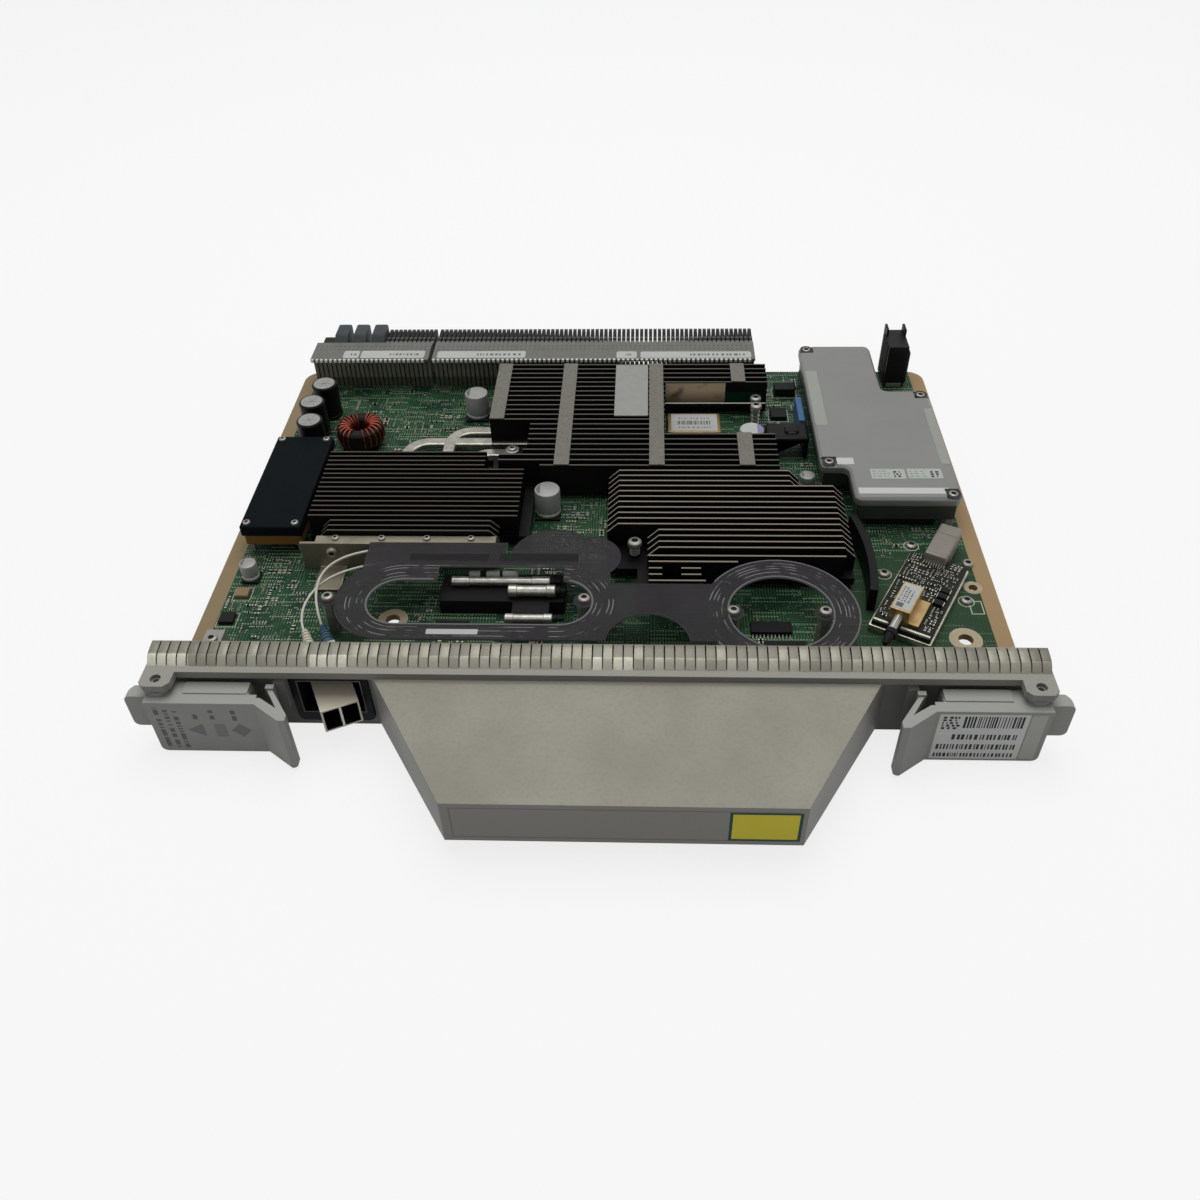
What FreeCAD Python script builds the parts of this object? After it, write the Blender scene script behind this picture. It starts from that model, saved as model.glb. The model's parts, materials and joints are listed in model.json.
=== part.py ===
import FreeCAD, Part
import math
import os
import types
import Sketcher

# Optical circuit pack: a plug-in line card lying flat, component side up.
# X runs along the faceplate, Y from the faceplate to the backplane edge, Z up.
# The origin is on the table, under the middle of the faceplate wall.

# Driving dimensions in millimetres
DIMENSIONS = {
    # Main board
    "board_overhang": 1.0,
    "board_depth": 203.3,
    "board_front": 2.0,
    "board_thickness": 2.4,
    "board_top": 8.0,
    "board_corner": 7.0,
    "large_hole_radius": 2.5,
    "small_hole_radius": 1.55,
    "left_hole_x": -72.5,
    "left_hole_y": 39.7,
    "right_hole_inset": 15.7,
    "right_hole_y": 32.1,
    "edge_hole_inset": 7.7,
    "edge_hole_y": 58.4,
    # Faceplate casting
    "faceplate_length": 280.0,
    "faceplate_wall": 3.0,
    "lip_top": 28.5,
    "lip_thickness": 2.7,
    "lip_front": -5.7,
    "lip_rear": 5.5,
    "ear_front": -12.0,
    "ear_inner_reach": 5.0,
    "lower_ear_radius": 2.5,
    "lower_ear_thickness": 3.2,
    "jaw_notch": 4.4,
    "lug_inset": 5.6,
    "lug_width": 6.4,
    "lug_height": 5.0,
    "left_lug_reach": 29.0,
    "right_lug_reach": 22.0,
    "catch_reach": 36.6,
    "catch_width": 3.4,
    # Hood on the faceplate
    "hood_middle": 10.2,
    "hood_end_distance": 59.3,
    "hood_front_width": 104.2,
    "hood_reach": 50.3,
    "hood_rear_bottom": 1.0,
    "hood_rear_top": 26.3,
    "hood_front_bottom": 5.5,
    "hood_front_top": 23.0,
    "hood_wall": 2.2,
    # Shielding finger strip
    "finger_pitch": 3.175,
    "strip_margin": 0.3,
    "finger_slit": 0.45,
    "strip_thickness": 0.35,
    "strip_front": -3.2,
    "strip_top": 32.0,
    "strip_shoulder_run": 2.9,
    "strip_shoulder_drop": 0.6,
    "strip_heel_run": 1.2,
    "strip_heel_drop": 1.8,
    # Pivot pins and levers
    "pivot_inset": 4.8,
    "pivot_y": -8.5,
    "pin_radius": 1.6,
    "pin_bore": 0.9,
    "pin_recess": 1.2,
    "pin_clearance": 0.15,
    "ear_clearance": 0.5,
    "lever_bottom": 0.8,
    "lever_top": 23.5,
    "lever_front": -14.3,
    "lever_skin": 2.6,
    "lever_outer_reach": 3.7,
    "lever_inner_reach": 31.2,
    "lever_rib_rear": -10.4,
    "lever_block_rear": -5.2,
    "block_outer_reach": 2.9,
    "block_inner_reach": 28.5,
    "lever_block_bottom": 12.0,
    "tab_tip_reach": 42.4,
    "tab_tip_y": -20.8,
    "tab_thickness": 2.3,
    "arm_end_reach": 33.4,
    "arm_end_y": -7.6,
    "arm_thickness": 1.7,
    "arm_bottom": 9.0,
    "boss_radius": 3.7,
    "jaw_reach": 11.1,
    "jaw_rear": -6.4,
    "jaw_bottom": 9.5,
    "jaw_top": 23.0,
    # Optical port
    "bezel_reach": 51.3,
    "bezel_width": 25.3,
    "bezel_bottom": 2.9,
    "bezel_top": 23.9,
    "bezel_flange": 1.2,
    "bezel_wall": 1.2,
    "port_width": 20.0,
    "port_bottom": 7.4,
    "port_top": 21.4,
    "port_depth": 6.0,
    "port_fit": 0.15,
    "port_panel": 1.5,
    "port_panel_back": 12.0,
    "port_turn": 25.0,
    "adapter_shift": 4.7,
    "adapter_y": -9.9,
    "adapter_width": 12.2,
    "adapter_length": 22.0,
    "adapter_bottom": 8.4,
    "adapter_height": 9.6,
    "adapter_wall": 0.7,
    "adapter_depth": 13.0,
    "fibre_pitch": 6.25,
    "ferrule_radius": 1.25,
    "ferrule_length": 7.0,
    "plug_size": 4.8,
    "plug_length": 11.0,
    "boot_length": 11.0,
    "boot_radius": 2.0,
    "boot_tip_radius": 1.1,
    "fibre_radius": 0.45,
    # Backplane connectors
    "wafer_pitch": 2.05,
    "wafer_thickness": 1.5,
    "wafer_set_back": 12.1,
    "wafer_top": 23.0,
    "wafer_step_reach": 5.7,
    "wafer_reach": 13.7,
    "tooth_drop": 0.5,
    "stiffener_set_back": 16.1,
    "stiffener_depth": 15.0,
    "stiffener_thickness": 1.2,
    "left_bank_inset": 7.7,
    "right_bank_shift": 54.3,
    "key_width": 6.2,
    "key_pitch": 8.4,
    "key_shift": 7.4,
    "key_gap": 0.4,
    "key_slope": 3.6,
    "key_reach": 12.7,
    "key_top": 26.0,
    "end_block_reach": 11.7,
    "end_block_top": 20.0,
    # Guide socket
    "guide_inset": 19.0,
    "guide_width": 8.6,
    "guide_depth": 15.5,
    "guide_reach": 2.2,
    "guide_height": 20.0,
    "guide_bore": 2.6,
    "guide_bore_depth": 12.0,
    "guide_prong": 3.0,
    "guide_prong_thickness": 1.0,
    # Shielded module
    "module_inset": 7.0,
    "module_width": 50.0,
    "module_set_back": 2.8,
    "module_depth": 111.5,
    "module_step_width": 10.4,
    "module_step_depth": 20.5,
    "module_notch_width": 18.8,
    "module_notch_depth": 37.0,
    "module_top": 23.0,
    "cover_height": 3.6,
    "cover_corner": 3.0,
    "cover_bevel": 1.0,
    "base_height": 7.4,
    "base_inset": 1.3,
    "lug_recess": 1.2,
    "lug_radius": 3.2,
    "lug_rim": 0.3,
    # Power brick
    "brick_inset_x": 6.7,
    "brick_y": 75.0,
    "brick_width": 22.9,
    "brick_depth": 59.0,
    "brick_top": 21.0,
    "brick_cover_height": 4.5,
    "brick_board_height": 4.5,
    "brick_inset": 0.8,
    "brick_pin_inset": 2.4,
    "brick_pin_side": 1.4,
    # Round parts on the board
    "bulk_radius": 5.4,
    "bulk_top": 24.0,
    "can_base": 1.2,
    "choke_inset": 37.2,
    "choke_y": 147.0,
    "choke_foot": 14.7,
    "choke_outer": 9.2,
    "choke_inner": 4.2,
    "choke_height": 8.0,
    "winding_cover": 1.1,
    "winding_gap": 6.0,
    # Heatsinks
    "chip_height": 2.0,
    "sink_base": 3.0,
    "fin_thickness": 0.7,
    "left_sink_top": 22.0,
    "rear_sink_top": 24.0,
    "front_sink_top": 23.0,
    "left_fin_pitch": 2.9,
    "rear_fin_pitch": 3.55,
    "front_fin_pitch": 3.29,
    "rail_left": -104.5,
    "rail_right": -37.0,
    "rail_rear": 71.4,
    "window_bar_left": 20.0,
    "window_bar_right": 66.2,
    "window_bar_rear": 159.2,
    "window_bar_top": 21.0,
    "pipe_width": 5.0,
    "pipe_height": 2.4,
    "pipe_bend": 9.0,
    "band_width": 6.0,
    "band_height": 0.6,
    "plate_left": 3.1,
    "plate_width": 13.9,
    "plate_front": 144.0,
    "plate_depth": 39.6,
    "washer_screw_x": -38.8,
    "washer_screw_y": 136.0,
    "washer_radius": 2.8,
    "spring_screw_x": 12.4,
    "spring_screw_y": 69.8,
    "spring_radius": 2.0,
    "spring_bore": 1.5,
    "spring_gap": 0.35,
    "spring_height": 5.0,
    "spring_head_radius": 2.6,
    "spring_head_height": 2.0,
    # Fibre tray and optics in it
    "tray_top": 22.5,
    "tray_thickness": 1.0,
    "tray_left_x": -69.8,
    "tray_left_y": 35.8,
    "tray_left_radius": 19.8,
    "tray_slot_radius": 10.8,
    "tray_slot_left": -67.3,
    "tray_slot_right": -12.7,
    "tray_slot_y": 34.1,
    "tray_ring_x": 61.4,
    "tray_ring_y": 30.2,
    "tray_ring_radius": 26.2,
    "tray_ring_inner": 17.2,
    "tray_notch_x": 17.1,
    "tray_notch_y": 15.0,
    "tray_notch_radius": 13.8,
    "tray_tab_radius": 3.6,
    "tray_bridge_left": 4.0,
    "tray_bridge_rear": 43.6,
    "tray_rear_left": -83.0,
    "tray_rear_right": -33.0,
    "tray_rear_edge": 65.0,
    "tray_slot_rear": 52.3,
    "holder_top": 14.2,
    "holder_left": -56.0,
    "holder_right": -12.0,
    "holder_front": 30.0,
    "holder_middle": 43.0,
    "holder_rear": 57.4,
    "holder_arm_left": -30.0,
    "holder_arm_right": -17.0,
    "splice_boot_length": 4.0,
    "sleeve_left": -46.5,
    "sleeve_y": 55.6,
    "sleeve_radius": 1.3,
    "sleeve_length": 17.5,
    # Standoffs and screw heads
    "standoff_radius": 2.4,
    "screw_head_radius": 2.1,
    "screw_head_height": 1.4,
    "small_head_radius": 1.4,
    "small_head_height": 0.9,
    # Bracket in front of the left heatsink
    "bracket_left": -110.0,
    "bracket_right": -38.0,
    "bracket_front": 66.8,
    "bracket_sheet": 1.2,
    "bracket_top": 20.2,
    "foot_left": -104.0,
    "foot_width": 10.0,
    "foot_front": 54.0,
    "face_screw_x": -98.4,
    "face_screw_z": 16.2,
    # Laser daughter board
    "laser_inset": 28.45,
    "laser_y": 50.2,
    "laser_turn": -28.5,
    "laser_width": 20.5,
    "laser_length": 41.9,
    "laser_board_thickness": 1.6,
    "carrier_height": 2.9,
    "carrier_margin": 0.7,
    "gold_x": -2.1,
    "gold_y": -11.1,
    "gold_width": 7.0,
    "gold_length": 15.0,
    "gold_height": 6.4,
    "gold_flange_width": 10.5,
    "gold_flange_height": 1.3,
    "nozzle_radius": 1.5,
    "nozzle_length": 8.0,
    "nozzle_boot_radius": 2.1,
    "nozzle_boot_length": 7.0,
    "clip_x": -1.0,
    "clip_leg_start": 24.0,
    "clip_width": 8.2,
    "clip_start": 17.4,
    "clip_end": 37.0,
    "clip_height": 4.2,
    # Fibre guide wall and strap
    "guide_wall_thickness": 3.0,
    "guide_wall_height": 10.0,
    "strap_distance": 18.4,
    "strap_width": 17.0,
    "strap_front": 137.0,
    "strap_depth": 12.0,
    "strap_top": 18.0,
    "strap_thickness": 2.0,
}

# Layout on the board: for each kind of item the board edge that its x or left is measured from,
# its sizes by name, then one row for each item
LAYOUT = {
    "bulk_can": ("left", "x y", [(18.2, 170.0), (16.0, 155.8), (18.2, 141.8)]),
    "chip_can": ("middle", "x y radius height", [
        (-21.6, 100.3, 5.0, 12.0), (-57.0, 168.8, 5.0, 12.0), (59.4, 141.0, 5.1, 12.0),
    ]),
    "left_can": ("left", "x y radius height", [(12.6, 60.8, 3.2, 8.0)]),
    "right_can": ("right", "x y radius height", [(60.8, 118.0, 3.1, 6.0)]),
    "board_chip": ("middle", "left front width depth height", [
        (25.6, 152.0, 22.2, 14.4, 3.0), (70.0, 165.2, 6.8, 7.2, 2.0), (73.0, 184.0, 9.0, 6.0, 4.0),
        (-57.0, 32.6, 12.0, 5.4, 1.6), (52.6, 33.0, 14.0, 5.4, 2.0), (56.6, 23.4, 14.0, 5.4, 2.0),
    ]),
    "left_chip": ("left", "left front width depth height", [
        (7.0, 36.4, 5.4, 5.2, 1.6), (9.0, 50.0, 5.0, 4.6, 1.6),
    ]),
    "strip_connector": ("right", "left front width depth height", [(60.8, 153.4, 2.6, 18.2, 8.0)]),
    "module_socket": ("right", "left front width depth height", [(40.6, 94.0, 25.6, 6.0, 4.0)]),
    "cooled_chip": ("middle", "x y side", [
        (-85.0, 100.0, 32.0), (-10.0, 150.0, 40.0), (45.0, 80.0, 36.0), (40.0, 120.0, 18.0),
    ]),
    "left_base": ("middle", "x y", [
        (-104.5, 68.0), (-37.0, 68.0), (-37.0, 80.0), (-27.2, 80.0), (-27.2, 111.2), (-46.6, 111.2),
        (-46.6, 123.4), (-110.2, 123.4), (-110.2, 80.0), (-104.5, 80.0),
    ]),
    "rear_base": ("middle", "x y", [
        (-25.6, 109.8), (67.8, 109.8), (67.8, 133.2), (24.0, 133.2), (24.0, 169.6), (67.8, 169.6),
        (67.8, 185.2), (-48.0, 185.2), (-48.0, 128.6), (-45.6, 128.6), (-45.6, 112.4), (-25.6, 112.4),
    ]),
    "front_base": ("middle", "x y", [
        (13.4, 44.4), (38.0, 44.4), (38.0, 57.4), (90.6, 57.4), (90.6, 99.2), (75.0, 99.2), (75.0, 108.6),
        (2.0, 108.6), (2.0, 66.0), (6.4, 62.0), (13.4, 62.0),
    ]),
    "left_fin": ("middle", "left right front count slope drop", [
        (-100.6, -40.8, 72.0, 3, 3.5, 0.0), (-109.6, -31.2, 80.8, 11, 0.0, 0.0),
        (-109.6, -47.0, 112.7, 4, 0.0, 0.0),
    ]),
    "rear_fin": ("middle", "left right front count slope drop", [
        (-25.0, 67.8, 110.0, 1, 0.0, 0.0), (-41.6, 67.8, 113.5, 3, 0.0, 0.0),
        (-31.0, 67.8, 124.2, 3, 0.0, 0.0), (-31.0, 24.0, 134.8, 2, 0.0, 0.0),
        (-48.0, 24.0, 141.9, 8, 0.0, 0.0), (-48.0, 67.8, 170.3, 5, 0.0, 0.0),
    ]),
    "front_fin": ("middle", "left right front count slope drop", [
        (17.4, 37.0, 45.2, 3, 0.0, 0.8), (17.4, 48.6, 55.2, 1, 0.0, 0.8), (17.4, 86.6, 58.4, 1, 0.0, 0.8),
        (21.0, 86.6, 62.0, 4, 4.0, 0.0), (6.1, 86.6, 75.2, 8, 4.0, 0.0), (6.0, 71.0, 101.4, 3, 4.0, 0.0),
    ]),
    "heat_pipe": ("middle", "x front row end", [
        (-82.5, 84.0, 142.6, -22.0), (-65.4, 84.0, 150.6, -22.0), (-56.2, 84.0, 134.6, -38.0),
    ]),
    "fin_band": ("middle", "left front rear", [
        (-48.0, 141.9, 185.0), (-19.6, 110.0, 185.0), (17.5, 110.0, 185.0), (52.4, 110.0, 132.0),
        (52.4, 170.3, 185.0),
    ]),
    "tray_lobe": ("middle", "x y radius", [(-16.0, 57.0, 15.6), (-3.0, 58.0, 10.6)]),
    "tray_screw": ("middle", "x y", [(-92.0, 35.2), (-4.4, 35.2), (45.6, 29.8), (76.0, 29.8)]),
    "splice": ("middle", "left right y radius", [
        (-52.2, -17.2, 51.4, 1.8), (-31.6, -15.0, 46.0, 2.2), (-31.6, -15.2, 32.4, 1.8),
    ]),
    "rail_screw": ("middle", "x", [(-97.1,), (-80.0,), (-63.4,), (-47.2,)]),
    "board_screw": ("right", "x y", [(38.2, 65.4), (7.0, 71.0), (11.6, 51.1), (35.2, 24.2), (25.6, 81.4)]),
    "pigtail": ("middle", "straight bend sweep tail rise", [
        (0.0, 22.0, 107.0, 9.0, 6.0), (8.0, 17.6, 110.0, 7.0, 13.0),
    ]),
    "guide_wall": ("right", "x y", [(47.6, 88.0), (44.4, 66.0), (46.0, 46.0)]),
}
LETTERS = "abcdefghijklmnopqrstuvwxyz"
for kind, (edge, names, items) in LAYOUT.items():
    for letter, item in zip(LETTERS, items):
        for name, number in zip(names.split(), item):
            DIMENSIONS["%s_%s_%s" % (kind, letter, name)] = number

# Counts of repeated features
LEFT_WAFER_COUNT = 26
SHORT_WAFER_COUNT = 15
RIGHT_WAFER_COUNT = 70
KEY_COUNT = 3

# Sides of the small round pieces, which keep few faces
CORD_SIDES = 5
HEX_SIDES = 6
HEAD_SIDES = 8
BOSS_SIDES = 8
TUBE_SIDES = 12
PIN_SIDES = 16
CAN_SIDES = 16

# Shares of a splice tube's radius at the wide and narrow ends of its boot
BOOT_FULL = 0.7
BOOT_TIP = 0.35

# Turn that lays a sleeve drawn along Y along X
ALONG_X = -90

# How far a cutting piece runs past the faces it cuts
OVERRUN = 1.0

doc = FreeCAD.newDocument("CircuitPack")
sheet = doc.addObject("Spreadsheet::Sheet", "Sizes")
for row, (alias, number) in enumerate(DIMENSIONS.items(), start=1):
    sheet.set("A%d" % row, alias)
    sheet.set("B%d" % row, str(number))
    sheet.setAlias("B%d" % row, alias)
doc.recompute()


class Size:
    """A length that keeps its number together with the sheet formula it comes from."""

    def __init__(self, number, formula):
        self.number = number
        self.formula = formula

    def join(self, sign, other, number):
        return Size(number, "(%s %s %s)" % (self.formula, sign, other.formula))

    def __add__(self, other):
        other = as_size(other)
        return self.join("+", other, self.number + other.number)

    def __sub__(self, other):
        other = as_size(other)
        return self.join("-", other, self.number - other.number)

    def __mul__(self, other):
        other = as_size(other)
        return self.join("*", other, self.number * other.number)

    def __truediv__(self, other):
        other = as_size(other)
        return self.join("/", other, self.number / other.number)

    def __neg__(self):
        return as_size(0) - self

    def __radd__(self, other):
        return as_size(other) + self

    def __rsub__(self, other):
        return as_size(other) - self

    def __rmul__(self, other):
        return as_size(other) * self


def as_size(value):
    if isinstance(value, Size):
        return value
    return Size(float(value), repr(float(value)))


d = types.SimpleNamespace()
for alias in DIMENSIONS:
    setattr(d, alias, Size(float(sheet.get(alias)), "Sizes." + alias))

# Places that follow from the driving dimensions
d.board_right = d.faceplate_length / 2 + d.board_overhang
d.board_left = -d.board_right
d.board_rear = d.board_front + d.board_depth
d.right_hole_x = d.board_right - d.right_hole_inset
d.edge_hole_x = d.board_right - d.edge_hole_inset
d.lug_outer = d.faceplate_length / 2 - d.lug_inset
d.lug_inner = d.lug_outer - d.lug_width
d.hood_rear_width = d.faceplate_length - 2 * d.hood_end_distance
d.pivot_x = d.faceplate_length / 2 - d.pivot_inset
d.catch_x = d.pivot_x - d.catch_reach
d.lever_outer = d.pivot_x + d.lever_outer_reach
d.lever_inner = d.pivot_x - d.lever_inner_reach
d.lever_block_outer = d.pivot_x - d.block_outer_reach
d.lever_block_inner = d.pivot_x - d.block_inner_reach
d.tab_tip_x = d.pivot_x - d.tab_tip_reach
d.arm_end_x = d.pivot_x - d.arm_end_reach
d.jaw_outer = d.pivot_x + d.jaw_reach
d.bezel_middle = d.bezel_reach - d.pivot_x
d.adapter_x = d.bezel_middle + d.adapter_shift
d.wafer_front = d.board_rear - d.wafer_set_back
d.wafer_step = d.board_rear + d.wafer_step_reach
d.wafer_rear = d.board_rear + d.wafer_reach
d.stiffener_front = d.board_rear - d.stiffener_set_back
d.stiffener_rear = d.stiffener_front + d.stiffener_depth
d.left_bank_x = d.board_left + d.left_bank_inset
d.right_bank_x = d.left_bank_x + d.right_bank_shift
d.key_x = d.left_bank_x + d.key_shift
d.key_rear = d.board_rear + d.key_reach
d.end_block_rear = d.board_rear + d.end_block_reach
d.guide_x = d.board_right - d.guide_inset
d.guide_rear = d.board_rear + d.guide_reach
d.guide_front = d.guide_rear - d.guide_depth
d.module_right = d.board_right - d.module_inset
d.module_left = d.module_right - d.module_width
d.module_rear = d.board_rear - d.module_set_back
d.module_front = d.module_rear - d.module_depth
d.module_step_x = d.module_left + d.module_step_width
d.module_step_y = d.module_front + d.module_step_depth
d.module_notch_x = d.module_right - d.module_notch_width
d.module_notch_y = d.module_rear - d.module_notch_depth
d.brick_x = d.board_left + d.brick_inset_x
d.choke_x = d.board_left + d.choke_inset
d.laser_x = d.board_right - d.laser_inset
d.strap_left = d.module_left - d.strap_distance

nodes = []


def layout(kind):
    """The items of one kind in the layout, each with its sizes by name."""
    edge, names, items = LAYOUT[kind]
    rows = []
    for letter in LETTERS[:len(items)]:
        sizes = {name: getattr(d, "%s_%s_%s" % (kind, letter, name)) for name in names.split()}
        for across in {"x", "left"} & set(sizes):
            if edge == "left":
                sizes[across] = d.board_left + sizes[across]
            if edge == "right":
                sizes[across] = d.board_right - sizes[across]
        rows.append(types.SimpleNamespace(**sizes))
    return rows


# Helpers for document objects

def bind(piece, path, size):
    piece.setExpression(path, as_size(size).formula)


def place(piece, x, y, z):
    for axis, size in zip("xyz", (x, y, z)):
        bind(piece, "Placement.Base." + axis, size)


def node(piece, label):
    piece.Label = label
    nodes.append(piece)
    return piece


def block(name, x0, x1, y0, y1, z0, z1):
    piece = doc.addObject("Part::Box", name)
    x0, y0, z0 = as_size(x0), as_size(y0), as_size(z0)
    bind(piece, "Length", x1 - x0)
    bind(piece, "Width", y1 - y0)
    bind(piece, "Height", z1 - z0)
    place(piece, x0, y0, z0)
    return piece


TURNS = {
    "x": FreeCAD.Rotation(FreeCAD.Vector(0, 1, 0), 90),
    "y": FreeCAD.Rotation(FreeCAD.Vector(1, 0, 0), -90),
    "z": FreeCAD.Rotation(),
}


def round_bar(name, x, y, z, radius, height, along="z"):
    piece = doc.addObject("Part::Cylinder", name)
    piece.Placement = FreeCAD.Placement(FreeCAD.Vector(), TURNS[along])
    bind(piece, "Radius", radius)
    bind(piece, "Height", height)
    place(piece, x, y, z)
    return piece


def prism(name, x, y, z, radius, height, sides, along="z"):
    piece = doc.addObject("Part::Prism", name)
    piece.Placement = FreeCAD.Placement(FreeCAD.Vector(), TURNS[along])
    piece.Polygon = sides
    bind(piece, "Circumradius", radius)
    bind(piece, "Height", height)
    place(piece, x, y, z)
    return piece


def ring(name, x, y, z, radius, bore, height, sides):
    outside = prism(name + "_outside", x, y, z, radius, height, sides)
    inside = prism(name + "_inside", x, y, z, bore, height, sides)
    return cut(name, outside, [inside])


def bind_wedge(piece, y0, y1, start, end):
    """Binds a wedge from one rectangle (x0, x1, z0, z1) at y0 to another at y1."""
    bind(piece, "Ymin", y0)
    bind(piece, "Ymax", y1)
    for paths, corners in ((("Xmin", "Xmax", "Zmin", "Zmax"), start),
                           (("X2min", "X2max", "Z2min", "Z2max"), end)):
        for path, size in zip(paths, corners):
            bind(piece, path, size)
    return piece


def taper(name, x, y, z, half, tip_half, length, turn=0):
    """A square sleeve that tapers along its length, which runs along Y before the turn about Z."""
    piece = doc.addObject("Part::Wedge", name)
    piece.Placement = FreeCAD.Placement(FreeCAD.Vector(), FreeCAD.Rotation(FreeCAD.Vector(0, 0, 1), turn))
    bind_wedge(piece, 0, length, (-half, half, -half, half), (-tip_half, tip_half, -tip_half, tip_half))
    place(piece, x, y, z)
    return piece


def fuse(name, pieces):
    piece = doc.addObject("Part::MultiFuse", name)
    piece.Shapes = pieces
    return piece


def cut(name, base, tools):
    tool = tools[0] if len(tools) == 1 else fuse(name + "_tools", tools)
    piece = doc.addObject("Part::Cut", name)
    piece.Base = base
    piece.Tool = tool
    return piece


def group(name, pieces):
    piece = doc.addObject("Part::Compound", name)
    piece.Links = pieces
    return piece


def copies(name, source, moves):
    """A node of separate equal solids: the source's shape at each move."""
    doc.recompute()
    shapes = []
    for move in moves:
        shape = source.Shape.copy()
        shape.translate(FreeCAD.Vector(*move))
        shapes.append(shape)
    piece = doc.addObject("Part::Feature", name)
    piece.Shape = Part.makeCompound(shapes)
    return piece


def turn_about_z(piece, x, y, z, angle):
    """Puts a piece drawn round the origin at a place, turned about the vertical."""
    rotation = FreeCAD.Rotation(FreeCAD.Vector(0, 0, 1), angle.number)
    piece.Placement = FreeCAD.Placement(FreeCAD.Vector(), rotation)
    place(piece, x, y, z)
    return piece


# Helpers for bodies

def origin_part(body, role):
    return [part for part in body.Origin.OriginFeatures if part.Role == role][0]


def new_body(name):
    return doc.addObject("PartDesign::Body", name)


def new_sketch(body, name, role, offset):
    sketch = body.newObject("Sketcher::SketchObject", name)
    sketch.AttachmentSupport = [(origin_part(body, role), "")]
    sketch.MapMode = "FlatFace"
    bind(sketch, "AttachmentOffset.Base.z", offset)
    return sketch


def hold(sketch, geometry, point, x, y):
    """Ties a sketch point to the sketch origin by two bound distances."""
    for kind, axis, size in (("DistanceX", -2, x), ("DistanceY", -1, y)):
        size = as_size(size)
        if abs(size.number) < 1e-9:
            sketch.addConstraint(Sketcher.Constraint("PointOnObject", geometry, point, axis))
        else:
            index = sketch.addConstraint(Sketcher.Constraint(kind, -1, 1, geometry, point, size.number))
            bind(sketch, "Constraints[%d]" % index, size)


def polygon(sketch, points):
    corners = [FreeCAD.Vector(as_size(x).number, as_size(y).number, 0) for x, y in points]
    first = sketch.GeometryCount
    count = len(corners)
    for index in range(count):
        sketch.addGeometry(Part.LineSegment(corners[index], corners[(index + 1) % count]), False)
    for index in range(count):
        following = first + (index + 1) % count
        sketch.addConstraint(Sketcher.Constraint("Coincident", first + index, 2, following, 1))
    for index, (x, y) in enumerate(points):
        hold(sketch, first + index, 1, x, y)


def disc(sketch, x, y, radius):
    centre = FreeCAD.Vector(as_size(x).number, as_size(y).number, 0)
    geometry = sketch.addGeometry(Part.Circle(centre, FreeCAD.Vector(0, 0, 1), radius.number), False)
    hold(sketch, geometry, 3, x, y)
    index = sketch.addConstraint(Sketcher.Constraint("Radius", geometry, radius.number))
    bind(sketch, "Constraints[%d]" % index, radius)


def rectangle(sketch, x0, x1, y0, y1):
    polygon(sketch, [(x0, y0), (x1, y0), (x1, y1), (x0, y1)])


def pad(body, sketch, name, length):
    feature = body.newObject("PartDesign::Pad", name)
    feature.Profile = sketch
    bind(feature, "Length", length)
    return feature


def pocket(body, sketch, name, length, away=False):
    feature = body.newObject("PartDesign::Pocket", name)
    feature.Profile = sketch
    bind(feature, "Length", length)
    feature.Reversed = away
    return feature


def repeat(body, feature, name, axis, length, count):
    pattern = body.newObject("PartDesign::LinearPattern", name)
    pattern.Originals = [feature]
    pattern.Direction = (origin_part(body, axis), [""])
    bind(pattern, "Length", length)
    pattern.Occurrences = count
    body.Tip = pattern
    return pattern


def upright_edges(shape, spots):
    """Names of the vertical edges that stand on the given spots."""
    names = []
    for index, edge in enumerate(shape.Edges, start=1):
        ends = [vertex.Point for vertex in edge.Vertexes]
        if len(ends) != 2 or abs(ends[0].z - ends[1].z) < 1e-6:
            continue
        for x, y in spots:
            near = [abs(end.x - x.number) < 1e-4 and abs(end.y - y.number) < 1e-4 for end in ends]
            if all(near):
                names.append("Edge%d" % index)
    return names


def round_corners(body, feature, name, spots, radius):
    doc.recompute()
    fillet = body.newObject("PartDesign::Fillet", name)
    fillet.Base = (feature, upright_edges(feature.Shape, spots))
    bind(fillet, "Radius", radius)
    return fillet


def top_face(shape):
    highest = max(range(len(shape.Faces)), key=lambda index: shape.Faces[index].CenterOfMass.z)
    return "Face%d" % (highest + 1)


# Main board

def make_board():
    body = new_body("BoardBody")
    bottom = d.board_top - d.board_thickness
    half = d.board_right
    rear = d.board_rear
    left_notch = d.bezel_middle - d.bezel_width / 2
    right_notch = d.bezel_middle + d.bezel_width / 2
    notch_rear = d.port_depth + d.board_front
    outline = new_sketch(body, "BoardOutline", "XY_Plane", bottom)
    polygon(outline, [
        (-half, d.board_front), (left_notch, d.board_front), (left_notch, notch_rear),
        (right_notch, notch_rear), (right_notch, d.board_front), (half, d.board_front),
        (half, rear), (-half, rear),
    ])
    sheet_pad = pad(body, outline, "BoardSheet", d.board_thickness)
    round_corners(body, sheet_pad, "BoardCorners", [(half, rear), (-half, rear)], d.board_corner)
    holes = new_sketch(body, "BoardHoles", "XY_Plane", d.board_top)
    disc(holes, d.left_hole_x, d.left_hole_y, d.large_hole_radius)
    disc(holes, d.right_hole_x, d.right_hole_y, d.large_hole_radius)
    disc(holes, d.edge_hole_x, d.edge_hole_y, d.small_hole_radius)
    pocket(body, holes, "BoardDrilling", d.board_thickness)
    return node(body, "main_board")


# Faceplate casting with its hollow hood

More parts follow.
